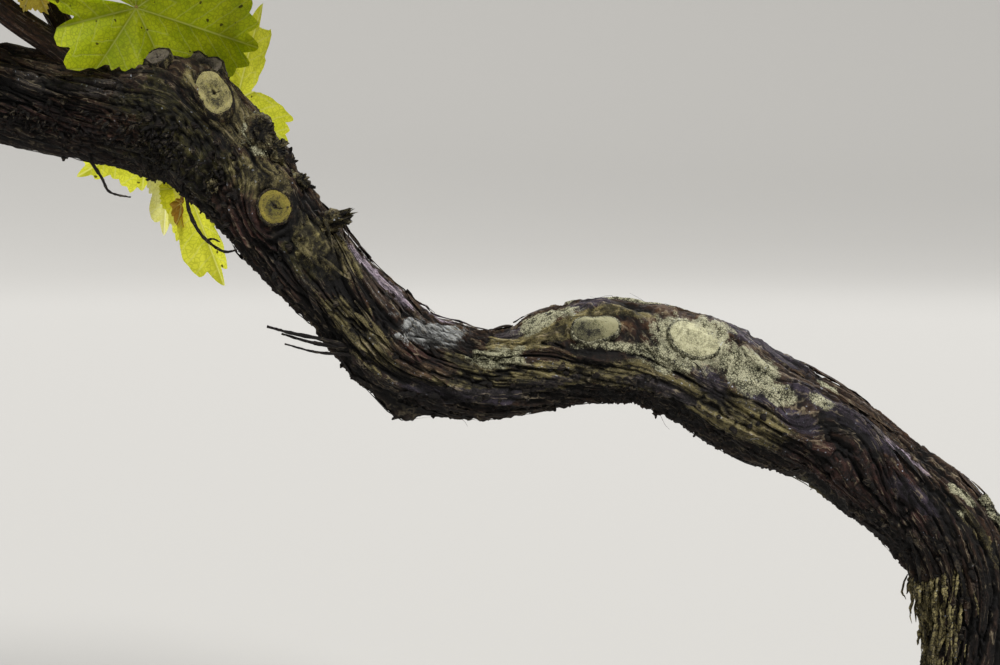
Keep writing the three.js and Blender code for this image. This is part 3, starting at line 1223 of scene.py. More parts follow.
def tubes(paths: Array, radii: Array, sides: int) -> Mesh:
    """Closed tubes along several paths of one number of points.

    Args:
        paths: each path's points.
        radii: the radius at each point.
        sides: corners of a section.

    Returns:
        The mesh, with no fields.
    """
    count, steps = radii.shape
    along = unit(np.gradient(paths, axis=1))
    helper = np.where(np.abs(along[:, 0, 2:]) > 0.8, np.array([1.0, 0.0, 0.0]), UP)
    side = unit(np.cross(helper, along[:, 0]))
    across = []
    for k in range(steps):
        side = unit(side - along[:, k] * np.sum(side * along[:, k], axis=1, keepdims=True))
        across.append(side)
    across = np.stack(across, axis=1)
    other = np.cross(along, across)
    angles = round_angles(sides)[:, None]
    out = across[:, :, None] * np.cos(angles) + other[:, :, None] * np.sin(angles)
    points = paths[:, :, None] + out * radii[:, :, None, None]
    first = np.arange(count)[:, None, None] * steps * sides
    section = np.arange(sides)[None]
    faces = (grid_faces(steps, sides), section[:, ::-1], section + (steps - 1) * sides)
    return Mesh(points.reshape(-1, 3), [(f + first).reshape(-1, f.shape[1]) for f in faces])


@dataclass(frozen=True)
class Stub:
    """A short stub that pruning left, from inside the wood outward to its cut face."""

    name: str
    start: Point
    end: Point
    radius: float
    finish: CutFinish
    oval: float = 0.0
    lean: float = 1.2
    dish: float = 0.8
    checks: int = 5
    shaggy: float = 1.0
    facing: Point | None = None
    flush: bool = False
    peak: tuple[float, float] = (0.0, 0.0)


FRESH = CutFinish("pale_cut", "b2a872", "4c4628", "8a8248", 0.06, 0.035, 0.2, 0.04)
MOSSY = CutFinish("mossy_cut", "9c8c38", "3c3612", "6e661e", 0.1, 0.035, 0.16, 0.1)
CRUSTED = CutFinish("crusted_cut", "b4b08c", "5e5b42", "bab694", 0.08, 0.0, 0.0, 0.1, 0.16)
# DULL's lean paints shade on one side of its face and light on the other.
DULL = CutFinish("dull_cut", "8c8866", "201f16", "545236", 0.05, 0.0, 0.0, 0.2, 0.12, (-24, 20))
GREY = CutFinish("grey_cut", "84796c", "37302b", "6f6a58", 0.02, 0.02, 0.12)

STUBS = (
    Stub("stub_top", (-571, -8, 800), (-577, -29, 828), 10, GREY, 0.14, 0.5, 0.6, 4, 0.9,
         (-0.35, -0.62, 0.7)),
    Stub("stub_crown", (-544, 4, 784), (-549, -17, 824), 12, GREY, 0.42, 0.6, 1.6, 7, 2.2,
         (-0.15, -0.75, 0.65)),
    Stub("stub_front", (-541, -10, 788), (-537, -42, 804), 14.4, FRESH, 0.23, 0.8, 0.9, 2, 0.9,
         (0.05, -0.93, 0.36)),
    Stub("stub_neck", (-503, -8, 722), (-498, -38, 728), 12.6, MOSSY, 0.04, 0.5, 1.2, 2),
    Stub("stub_hump", (-216, -10, 616), (-212, -28, 638), 17, CRUSTED, 0.14, 0.1, -0.4, 0, 0.5,
         flush=True),
    Stub("stub_knob", (-278, -8, 630), (-280, -26, 645), 13.5, DULL, 0.27, 0.1, -2.6, 0, 0.4,
         flush=True, peak=(0.055, 0.95)),
)


@dataclass
class Stubs:
    """The pruning stubs, each a barked side that ends in a cut face."""

    trunk: Trunk
    bark: Material
    around: int = 96
    side_rows: int = 24
    lip_rows: int = 6
    face_rows: int = 28
    lip_width: float = 0.0012
    lip_height: float = 0.0009
    scar_bend: float = 0.04
    scar_lift: float = 0.0007
    scar_depth: float = 0.02

    def build(self) -> None:
        """Builds each stub as its own piece."""
        for seed, stub in enumerate(STUBS):
            face = bpy.data.materials.get(stub.finish.name) or stub.finish.material()
            mesh = self._stub(stub, seed)
            mesh.build(stub.name + "_wood", "cut_wood", [stub.name], self.bark, face)

    def _stub(self, stub: Stub, seed: int) -> Mesh:
        """Makes a stub of rings: up its side, over its lip and in over its face.

        Args:
            stub: its place, sizes and finish.
            seed: what its unevenness is drawn from.

        Returns:
            The mesh.
        """
        rng = np.random.default_rng(70 + seed)
        coarse, fine = Grain(80 + seed, 9), Grain(90 + seed, 40)
        angle = round_angles(self.around)
        turns = angle / TURN
        start, end = np.array(stub.start) * MM, np.array(stub.end) * MM
        if stub.flush:
            base, out, way = self.trunk.spot(stub.end[0], stub.end[2])
            end = base + self.scar_lift * out
            start = end - self.scar_depth * out
            beside = unit(np.cross(way, out))
        along = unit(end - start)
        across = unit(np.cross(along, np.array([0.0, 1.0, 0.0])))
        up = np.cross(across, along)
        outline = 1 + stub.oval * np.cos(2 * (angle - stub.lean))
        outline += stub.peak[0] * np.cos(3 * (angle - stub.peak[1]))
        outline += 0.06 * coarse(np.full_like(turns, 3.1), turns)
        side = np.linspace(0, 1, self.side_rows)[:, None]
        height = float(np.linalg.norm(end - start)) * side
        wall = stub.radius * MM * (1 + 0.3 * (1 - side) ** 1.5) * outline
        ridge = ridges(coarse(height / MM / 16, turns + 0 * side))
        thread = fine(height / MM / 7, turns + 0 * side)
        rough = 1.1 * (ridge - 0.5) + 0.55 * thread
        wall = wall + stub.shaggy * MM * rough * (1 - 0.6 * side**4)
        lip = np.linspace(0, 1, self.lip_rows + 1)[1:, None] * math.pi / 2
        edge = wall[-1:] - self.lip_width * (1 - np.cos(lip))
        rise = float(height[-1, 0]) + self.lip_height * np.sin(lip)
        share = np.linspace(1, 0.01, self.face_rows + 1)[1:, None]
        deep = self._dish(stub, rng, share, angle, fine)
        reach = np.concatenate((wall, edge, edge[-1:] * share))
        level = np.concatenate((height + 0 * wall, rise + 0 * edge, rise[-1:] + deep))
        rows = len(reach)
        out = across * np.cos(angle)[:, None] + up * np.sin(angle)[:, None]
        cut = unit(np.array(stub.facing or along))
        slope = -(out @ cut) / (along @ cut)
        tilted = np.concatenate((side**2, np.ones((rows - len(side), 1))))
        points = start + along * (level + slope * reach * tilted)[..., None]
        points = points + out * reach[..., None]
        if stub.flush:
            sink = ((points - end) @ beside) ** 2 / (2 * self.scar_bend)
            points = points - along * sink[..., None]
        lift = np.concatenate((0.5 + 0.4 * (ridge - 0.5) + 0.2 * thread, 0 * edge + 0.5,
                               np.clip(0.7 + deep / MM * 0.35, 0, 1)))
        ring = np.concatenate((np.ones_like(wall), np.ones_like(edge), share + 0 * deep))
        cover, most = (Cover.LICHEN, 0.75) if stub.flush else (Cover.ALGAE, 0.5)
        fields = {"height": lift.ravel(), "ring": ring.ravel(),
                  "grain": rolled(level, reach, angle).reshape(-1, 3),
                  cover.value: np.full(rows * self.around, most)}
        cap = (np.arange(self.around) + (rows - 1) * self.around)[None]
        uv = np.concatenate((grid_uv(rows, self.around), np.zeros((self.around, 2))))
        slots = np.repeat(np.arange(rows - 1) >= self.side_rows + self.lip_rows, self.around)
        faces = [grid_faces(rows, self.around), cap]
        return Mesh(points, faces, fields, uv, slots=np.append(slots, True))

    @staticmethod
    def _dish(stub: Stub, rng: Rng, share: Array, angle: Array, fine: Grain) -> Array:
        """How far the face lies above its lip: dished or domed, ringed, checked and pithed.

        Args:
            stub: its sizes and finish.
            rng: the stub's draws.
            share: places from the middle to the lip.
            angle: angles round the face.
            fine: a fine grain.

        Returns:
            Heights in metres.
        """
        deep = -stub.dish * MM * (1 - share**2) * (1 if stub.dish > 0 else 2.2)
        deep = deep + 0.02 * stub.finish.rings * MM * 4 * np.sin(share * 34 + 0 * angle)
        deep = deep + 0.5 * MM * bell(share - 0.42, 0.1)
        groove = 0.8 * MM if stub.checks else 0.3 * MM
        deep = deep - groove * bell(share - 0.95, 0.03)
        deep = deep + 0.2 * MM * fine(share * 22 + 0 * angle, angle / TURN + 0 * share)
        for check in range(stub.checks):
            way = TURN * (check + rng.uniform(-0.3, 0.3)) / stub.checks
            from_pith = rng.uniform(0.55, 0.95)
            bent = wrapped(angle - way - 0.25 * np.sin(5 * share + check))
            crack = bell(bent * share * stub.radius, 0.5)
            deep = deep - 0.8 * MM * crack * smooth(from_pith, 0.4 * from_pith, share)
        if stub.checks:
            deep = deep - 1.8 * MM * smooth(0.16, 0.04, share)
        return deep


@dataclass(frozen=True)
class Strand:
    """A dead twig or strip of bark that stands off the wood, in millimetres."""

    route: tuple[Point, ...]
    thick: float
    thin: float


# Two tendrils and the fork of one, three strips under the dip and a fibre on the slope.
STRANDS = (
    Strand(((-629, -8, 772), (-627, -12, 759), (-619, -16, 747), (-614, -18, 738),
            (-606, -18, 735), (-599, -18, 734)), 1.5, 0.5),
    Strand(((-560, -20, 745), (-559, -24, 728), (-552, -27, 712), (-545, -28, 704),
            (-534, -26, 697), (-527, -22, 698)), 1.5, 0.8),
    Strand(((-546, -28, 705), (-541, -31, 706), (-536, -33, 704)), 0.9, 0.4),
    Strand(((-420, -24, 618), (-446, -28, 630), (-466, -30, 637), (-490, -30, 642),
            (-506, -27, 646)), 2.2, 0.8),
    Strand(((-444, -26, 630), (-462, -30, 633), (-478, -30, 636), (-496, -27, 641)), 2.0, 0.7),
    Strand(((-432, -26, 622), (-452, -31, 627), (-473, -31, 629), (-494, -27, 634)), 1.6, 0.5),
    Strand(((-66, -2, 566), (-56, -4, 560), (-49, -5, 555), (-42, -5, 553.5)), 0.6, 0.3),
)


@dataclass(frozen=True)
class Snag:
    """A torn lump at x and z as seen from the front, in millimetres."""

    x: float
    z: float
    size: float
    radius: float
    lichen: float = 0.2
    way: Point | None = None


SNAGS = (
    Snag(-512, 776, 7, 11),
    Snag(-503, 764, 7, 8),
    Snag(-464, 716, 18, 6.5, 0.0),
    Snag(-484, 744, 6, 6),
    Snag(-540, 744, 8, 4),
    Snag(-6, 518, 24, 4.5, 0.8, (0.6, -0.3, -0.75)),
)


@dataclass
class Shreds:
    """Strips of bark that peel, hairs, dead strands, torn snags, crumbs and straws."""

    trunk: Trunk
    strips: int = 420
    hairs: int = 60
    crumbs: int = 420
    fringe: int = 260
    straws: int = 230
    # Steps along each kind, and the sides of those that are round.
    strip_steps: int = 9
    hair: tuple[int, int] = (7, 4)
    crumb: tuple[int, int] = (5, 7)
    straw: tuple[int, int] = (9, 5)
    strand: tuple[int, int] = (40, 8)
    snag: tuple[int, int] = (26, 40)
    reach: float = 0.035
    snag_root: float = 0.006
    straw_top: tuple[int, int] = (-45, 468)
    crumb_profile: tuple[float, float, float, float, float] = (0.9, 1.1, 1.0, 0.75, 0.3)

    def __post_init__(self) -> None:
        """Starts the draws."""
        self.rng = np.random.default_rng(41)

    def build(self, bark: Material) -> None:
        """Builds each kind as a piece.

        Args:
            bark: the trunk's material.
        """
        kinds = {"peeling_strips": self._strips, "bark_hairs": self._hairs,
                 "dead_strands": self._strands, "torn_snags": self._snags,
                 "bark_crumbs": self._crumbs, "straw_shreds": self._straws}
        for name, make in kinds.items():
            make().build(name, "bark", [], bark)

    def _strips(self) -> Mesh:
        """Strips that lie along the grain, some free at one end and some at none.

        Returns:
            The mesh.
        """
        rng, count, steps = self.rng, self.strips, self.strip_steps
        course = self.trunk.course
        at = rng.uniform(0.02, course.length - 0.02, count)
        turn = rng.uniform(0, TURN, count)
        size = rng.uniform(0.012, 0.05, count) * rng.uniform(0.7, 1.7, count)
        wide = rng.uniform(0.0007, 0.0023, count)
        clear = self._clear(at, turn, 0.5 * size)
        at, turn, size, wide = (each[clear, None] for each in (at, turn, size, wide))
        count = len(at)
        free = rng.random(count) < 0.7
        rise = rng.uniform(0.0008, 0.0032, count) * np.where(rng.random(count) < 0.12, 2.2, 1)
        back = rng.random(count) < 0.5
        share = np.linspace(0, 1, steps)
        toward = np.where(back, -1, 1)[:, None] * (share[None] - 0.5)
        length = np.clip(at + toward * size, 0.004, course.length - 0.002)
        drift = rng.normal(0, 0.25, (count, 1)) * toward + (length - at) / self.trunk.winding
        lift = np.where(free[:, None], share[None] ** 2.2, 0.6 * np.sin(math.pi * share)[None])
        lift = 0.0005 + lift * rise[:, None]
        taper = np.sin(math.pi * (0.06 + 0.9 * share)) ** 0.6
        half = wide * taper[None] / course.radius(length)
        sideways = np.array([-1.0, 0.0, 1.0])
        angle = turn[..., None] + drift[..., None] + half[..., None] * sideways
        length = np.broadcast_to(length[..., None], angle.shape)
        points, out, fields = self.trunk.surface(length, angle, "bulk")
        curl = rng.uniform(-0.5, 0.7, count)[:, None, None] * np.abs(sideways)
        lift = lift[..., None] * (1 + curl) * (1 - 0.7 * fields["under"])
        raised = 0.0006 + lift + 0.5 * (fields["relief"] - fields["bulk"])
        faces = grid_faces(steps, 3, closed=False)[None]
        faces = (faces + np.arange(count)[:, None, None] * steps * 3).reshape(-1, 4)
        tone = rng.uniform(0.36, 0.7, count)[:, None, None]
        fields["height"] = np.broadcast_to(tone, angle.shape)
        return Mesh(points + out * raised[..., None], [faces], self.trunk.kept(fields, length))

    def _clear(self, length: Array, angle: Array, room: Array | float) -> Array:
        """Whether each place has room between it and the scars and cuts.

        Args:
            length: lengths in metres.
            angle: angles round the course.
            room: how much each needs, in metres.

        Returns:
            One truth value a place.
        """
        clear = np.ones(len(length), bool)
        for knot, at, turn in self.trunk.knots:
            if knot.collar:
                gap = np.hypot(length - at, wrapped(angle - turn) * self.reach)
                clear &= gap > 1.5 * knot.radius * MM + room
        return clear

    @staticmethod
    def _plain(mesh: Mesh, height: float | Array, **covers: float | Array) -> Mesh:
        """Gives a mesh a height, an even plate tone, its covers, and its place as its grain.

        Args:
            mesh: the mesh.
            height: one height, or one a vertex.
            covers: each cover's share.

        Returns:
            The same mesh.
        """
        count = len(mesh.points)
        values = {"height": height, "plate": 0.5, **covers}
        made = {key: np.broadcast_to(np.asarray(each, float), count) for key, each in values.items()}
        mesh.fields = {**made, "grain": mesh.points}
        return mesh

    def _hairs(self) -> Mesh:
        """Fine fibres that stand off along the grain.

        Returns:
            The mesh.
        """
        rng, count = self.rng, self.hairs
        steps, sides = self.hair
        course = self.trunk.course
        at = rng.uniform(0.3, course.length - 0.02, (count, 1))
        turn = rng.uniform(0, TURN, (count, 1))
        size = rng.uniform(0.008, 0.03, (count, 1)) * rng.choice([-1, 1], (count, 1))
        share = np.linspace(0, 1, steps)
        length = np.clip(at + size * share, 0.004, course.length - 0.002)
        angle = turn + (length - at) / self.trunk.winding
        angle = angle + rng.normal(0, 0.3, (count, 1)) * share**2
        points, out, _ = self.trunk.surface(length, angle)
        rise = rng.uniform(0.001, 0.009, (count, 1)) * share**1.6
        radii = 0.00028 * (1 - 0.8 * share)[None] * rng.uniform(0.7, 1.4, (count, 1))
        return self._plain(tubes(points + out * rise[..., None], radii, sides), 0.4)

    def _crumbs(self) -> Mesh:
        """Small lumps of bark and moss, most of them under the wood and round the head.

        Returns:
            The mesh.
        """
        rng = self.rng
        steps, sides = self.crumb
        low, high = self.trunk.span("trunk_head")
        below = rng.uniform(0.35, self.trunk.course.length - 0.01, self.crumbs)
        about = rng.uniform(low - 0.05, high + 0.04, self.crumbs // 2)
        hanging = rng.uniform(low + 0.01, high + 0.06, self.fringe)
        length = np.concatenate((below, about, hanging))
        angle = np.concatenate((rng.normal(-math.pi / 2 - 0.6, 0.4, self.crumbs),
                                rng.uniform(0, TURN, self.crumbs // 2),
                                rng.normal(-math.pi / 2 - 0.35, 0.25, self.fringe)))
        fringe = np.arange(len(length)) >= len(length) - self.fringe
        clear = self._clear(length, angle, 0.002)
        length, angle, fringe = length[clear], angle[clear], fringe[clear, None]
        base, out, _ = self.trunk.surface(length, angle)
        along = self.trunk.course.frame(length)[1]
        count = len(length)
        way = out + along * rng.uniform(-1.2, 1.2, (count, 1)) + rng.normal(0, 0.25, (count, 3))
        way = unit(way + fringe * np.array([0.0, -0.2, -0.5]))
        size = rng.uniform(0.0008, 0.0022, (count, 1)) * rng.uniform(0.7, 1.3, (count, 1))
        size = np.where(fringe, 0.55 * size, size)
        reach = np.linspace(-0.6, 1.2, steps) * size * np.where(fringe, 5, 1.5)
        paths = base[:, None] + way[:, None] * reach[..., None]
        paths = paths + rng.normal(0, 0.0003, paths.shape)
        profile = np.array(self.crumb_profile) * rng.uniform(0.7, 1.2, (count, steps))
        mesh = self._plain(tubes(paths, size * profile, sides), 0.45)
        mesh.points = mesh.points + rng.normal(0, 0.0002, mesh.points.shape)
        return mesh

    def _straws(self) -> Mesh:
        """Straw-coloured shreds that hang down the leg's left side.

        Returns:
            The mesh.
        """
        rng, count = self.rng, self.straws
        steps, sides = self.straw
        top, turn = self.trunk.locate(*self.straw_top)
        length = top - 0.1 * rng.random(count) ** 1.5
        angle = turn + rng.normal(-0.22, 0.36, count)
        base, out, _ = self.trunk.surface(length, angle)
        share = np.linspace(0, 1, steps)[None, :, None]
        size = rng.uniform(0.006, 0.022, (count, 1, 1))
        fall = -UP + rng.normal(0, 0.12, (count, 1, 3))
        away = out[:, None] * (0.95 * share - 0.8 * share**2) * rng.uniform(0.1, 1.0, (count, 1, 1))
        paths = base[:, None] + (fall * share + away) * size
        paths = paths + rng.normal(0, 0.0003, paths.shape)
        profile = np.sin(math.pi * (0.15 + 0.8 * share[..., 0]))
        radii = rng.uniform(0.0004, 0.0016, (count, 1)) * profile
        mesh = tubes(paths, radii * rng.uniform(0.7, 1.3, (count, steps)), sides)
        height = np.repeat(rng.uniform(0.35, 0.8, count), steps * sides)
        return self._plain(mesh, height, straw=0.8)

    def _strands(self) -> Mesh:
        """The named strands as knobbly tapering tubes.

        Returns:
            The mesh.
        """
        steps, sides = self.strand
        paths, radii = [], []
        for strand in STRANDS:
            course = Course([(*place, 1.0) for place in strand.route])
            share = np.linspace(0, course.last, steps)
            paths.append(course.centre(share))
            knobs = 1 + 0.2 * np.sin(9 * share) * np.sin(4.1 * share + 1)
            radii.append(np.linspace(strand.thick, strand.thin, steps) * MM * knobs)
        mesh = self._plain(tubes(np.array(paths), np.array(radii), sides), 0.42)
        mesh.points = mesh.points + self.rng.normal(0, 0.00009, mesh.points.shape)
        return mesh

    def _snags(self) -> Mesh:
        """Torn lumps that stick out of the bark and end in splinters.

        Returns:
            The mesh.
        """
        rng = self.rng
        steps, sides = self.snag
        share = np.linspace(0, 1, steps)
        turns = np.arange(sides) / sides
        all_points, faces, heights, crusts = [], [], [], []
        for number, snag in enumerate(SNAGS):
            size = snag.size * MM
            base, out, along = self.trunk.spot(snag.x, snag.z)
            way = unit(out - 0.5 * along + np.array([0, -0.2, 0.1]))
            way = unit(np.array(snag.way)) if snag.way else way
            root = self.snag_root
            path = base - way * root + way * share[:, None] * (size + root)
            radii = snag.radius * MM * (1.3 - 0.55 * share**0.7)
            points = tubes(path[None], radii[None], sides).points.reshape(steps, sides, 3)
            along, around = np.broadcast_arrays(share[:, None], turns[None])
            lumps = (Grain(400 + number, 4)(along * 3, around)
                     + 0.7 * Grain(420 + number, 9)(along * 7, around)
                     + 0.5 * Grain(440 + number, 18)(along * 12, around))
            points = points + (points - path[:, None]) * 0.42 * lumps[..., None]
            torn = rng.uniform(-1, 1, (1, sides, 1)) * 0.35 * size * share[:, None, None] ** 3
            points = points + way * torn + rng.normal(0, 0.0003, points.shape)
            inner = points[-1:].mean(axis=1, keepdims=True) - way * 0.4 * size
            points = np.concatenate((points, mix(points[-1:], inner, 0.7)))
            lumps = np.concatenate((lumps, lumps[-1:] - 0.3))
            offset = number * (steps + 1) * sides
            cap = (np.arange(sides) + steps * sides)[None]
            faces += [grid_faces(steps + 1, sides) + offset, cap + offset]
            all_points.append(points.reshape(-1, 3))
            heights.append(lumps.ravel())
            crusts.append(np.full(lumps.size, snag.lichen))
        height = np.clip(0.5 + 0.4 * np.concatenate(heights), 0, 1)
        mesh = Mesh(np.concatenate(all_points), faces)
        return self._plain(mesh, height, algae=0.55, lichen=np.concatenate(crusts))


class Tint(Enum):
    """The colours that leaves have turned, dealt out by spray."""

    GREEN = "green"
    LIME = "lime"
    FADING = "fading"
    YELLOW = "yellow"
    AMBER = "amber"
    PALE = "pale"


@dataclass(frozen=True)
class LeafFinish:
    """A leaf that lets light through, with paler veins."""

    name: str
    blade: str
    shade: str
    vein: str
    through: float = 0.4
    # dark: the veinlets' colour, and painted shade in a band beside the main veins.
    dark: str = "4a5a14"
    speck: str = "2a1c10"

    def material(self) -> Material:
        """Builds the material, which reads the fields place, along and aside.

        Returns:
            The material.
        """
        shader = Shader(self.name, specular=0.2)
        place = shader.field("place", vector=True)
        along, aside = shader.field("along"), shader.field("aside")
        mottle, cell = shader.noise(place, 60, 3), shader.noise(place, 700, 2)
        sway = 0.003 * shader.noise(place, 160, 1)
        main = 1 - (aside * 1000).step(0.25, 0.9)
        side = along.math("FRACT", (along - 0.8 * aside + sway) * 88)
        side = (1 - (abs(side - 0.5) * 2).step(0.03, 0.16)) * 0.55
        veins = main.either(side)
        beside = (1 - (aside * 1000).step(0.6, 2.6)).either(side * 0.6)
        net = 1 - shader.cells(place, 330).step(0.02, 0.12)
        colour = shader.ramp(mottle * 0.7 + cell * 0.3, (0.35, self.shade), (0.6, self.blade))
        # Darker veinlets, and painted shade in a band beside the main veins.
        colour = shader.blend(net.either(beside) * 0.34, colour, self.dark)
        colour = shader.blend(veins * 0.55, colour, self.vein)
        specks = shader.noise(place, 210, 0).step(0.77, 0.79)
        colour = shader.blend(specks * 0.85, colour, self.speck)
        shader.set(Base_Color=colour, Roughness=0.55)
        shader.bump(veins * -1 + 0.3 * cell, 0.0006, 0.7)
        glow = shader.node("ShaderNodeBsdfTranslucent", None, {"Color": colour})
        shader.cover(glow, self.through)
        return shader.material


LEAF_FINISHES = {
    Tint.GREEN: LeafFinish("green_leaf", "92a82c", "6e8c22", "b8c65c", dark="3a5212"),
    Tint.LIME: LeafFinish("lime_leaf", "cad41e", "a4b814", "dce478", 0.58),
    Tint.FADING: LeafFinish("fading_leaf", "eaea4a", "d2d632", "f0f090", 0.6, "8e9424"),
    Tint.YELLOW: LeafFinish("yellow_leaf", "dcc850", "c2a63a", "ece090", dark="9a7a24"),
    Tint.AMBER: LeafFinish("amber_leaf", "c49a3c", "a06c28", "d8b468", 0.35, "6f4a1a"),
    Tint.PALE: LeafFinish("pale_leaf", "f8f6a8", "ecea7c", "faf8cc", 0.66, "c2be5a"),
}

# How much of the crown takes each tint.
TINT_SHARES = {Tint.GREEN: 0.27, Tint.LIME: 0.37, Tint.FADING: 0.23, Tint.YELLOW: 0.1,
               Tint.AMBER: 0.03}


class Blade:
    """One vine leaf, flat: lobes and teeth round the end of its stalk, its tip along X."""

    KEYS = ((0, 1.0), (25, 0.76), (50, 0.9), (78, 0.68), (110, 0.77), (131, 0.65),
            (150, 0.64), (170, 0.42), (178, 0.07))
    VEINS = (0, 50, 110, 150)
    TOOTH = 5.0

    def __init__(self, steps: int, rings: int, seed: int, cut: float = 1.0,
                 outline: Sequence[tuple[float, float]] = KEYS) -> None:
        """Works out the blade.

        Args:
            steps: steps round it from one key to the next.
            rings: steps from the stalk's end to the edge.
            seed: what its unevenness is drawn from.
            cut: how deep the bays between its lobes are.
            outline: the angle in degrees and the reach of each tip and each bay in turn.
        """
        rng = np.random.default_rng(seed)
        keys = np.array(outline, float)
        last = len(keys) - 1
        between = np.linspace(0, 1, steps, endpoint=False)
        index = np.append(np.arange(last)[:, None] + between, last)
        half = np.interp(index, np.arange(last + 1), keys[:, 0])
        at = np.minimum(index.astype(int), last - 1)
        share = index - at
        share = np.where(at % 2 == 0, 1 - (1 - share) ** 1.3, share**1.3)
        phase = half / self.TOOTH
        teeth = 1 - 2 * np.abs(phase - 2 * np.round(phase / 2)) ** 1.4
        teeth = (0.045 + 0.02 * np.sin(3 * index)) * teeth * smooth(0, 1.2, last - index)
        sides = []
        for _ in range(2):
            reach = keys[:, 1].copy()
            reach[1:-2:2] = 1 - (1 - reach[1:-2:2]) * cut
            reach[1:-2] *= rng.uniform(0.96, 1.04, last - 2)
            sides.append(mix(reach[at], reach[at + 1], share) * (1 + teeth))
        edge = np.concatenate((sides[0][:0:-1], sides[1]))
        angle = np.radians(np.concatenate((-half[:0:-1], half)))
        ring = np.linspace(0, 1, rings + 1)[1:, None]
        reach = ring * edge
        flat = reach * np.stack((np.cos(angle), np.sin(angle)))[:, None]
        off = np.abs(np.abs(angle)[:, None] - np.radians(np.array(self.VEINS))).min(axis=1)
        self.flat = np.concatenate((np.zeros((1, 2)), flat.reshape(2, -1).T))
        self.along = np.append(0.0, reach * np.cos(off))
        self.aside = np.append(0.0, reach * np.sin(off))
        self.edge = np.append(0.0, ring + 0 * edge)
        self.wave = rng.uniform(0, TURN, 3)
        spoke = np.arange(1, len(angle))
        self.fan = np.stack((0 * spoke, spoke, spoke + 1), axis=1)
        self.walls = (grid_faces(rings, len(angle), closed=False) + 1)[:, ::-1]

    def _bent(self, droop: Array, fold: Array, ripple: Array) -> Array:
        """The blade out of its plane.

        Args:
            droop: how far its tip and sides hang, one number a leaf.
            fold: how far its sides are raised from its middle vein.
            ripple: how wavy its edge is.

        Returns:
            Points of each leaf, in shares of its length.
        """
        x, y = self.flat.T
        turned = np.arctan2(y, x)
        wave = np.sin(3 * turned + self.wave[0]) + 0.6 * np.sin(7 * turned + self.wave[1])
        high = 0.28 * np.sqrt(self.aside + 0.0025) * self.edge**0.5 + fold[:, None] * np.abs(y)
        high = high + ripple[:, None] * self.edge**2.5 * wave - 0.6 * fold[:, None] * y * y
        out = np.hypot(x, 0.7 * y)
        turn = droop[:, None] * out * 0.5
        pull = np.cos(turn)
        return np.stack((x * pull, y * pull, high - out * np.sin(turn)), axis=-1)

    def placed(self, start: Array, tip: Array, face: Array, size: Array, bends: Array) -> Array:
        """Bends the blade into leaves and places them.

        Args:
            start: where each stalk ends.
            tip: the way each middle vein points.
            face: the way each upper side looks.
            size: each length from the stalk's end to the tip, in metres.
            bends: each one's droop, fold and ripple, as in _bent.

        Returns:
            The points of each leaf.
        """
        tip = unit(tip)
        face = unit(face - tip * np.sum(face * tip, axis=1, keepdims=True))
        axes = np.stack((tip, np.cross(face, tip), face), axis=1)
        bent = self._bent(*bends) * size[:, None, None]
        return start[:, None] + np.einsum("nvk,nkc->nvc", bent, axes)


@dataclass(frozen=True)
class Leaf:
    """A leaf of the crown: its stalk's end, the ways of its tip and face, length and tint."""

    start: Array
    tip: Array
    face: Array
    size: float
    tint: Tint


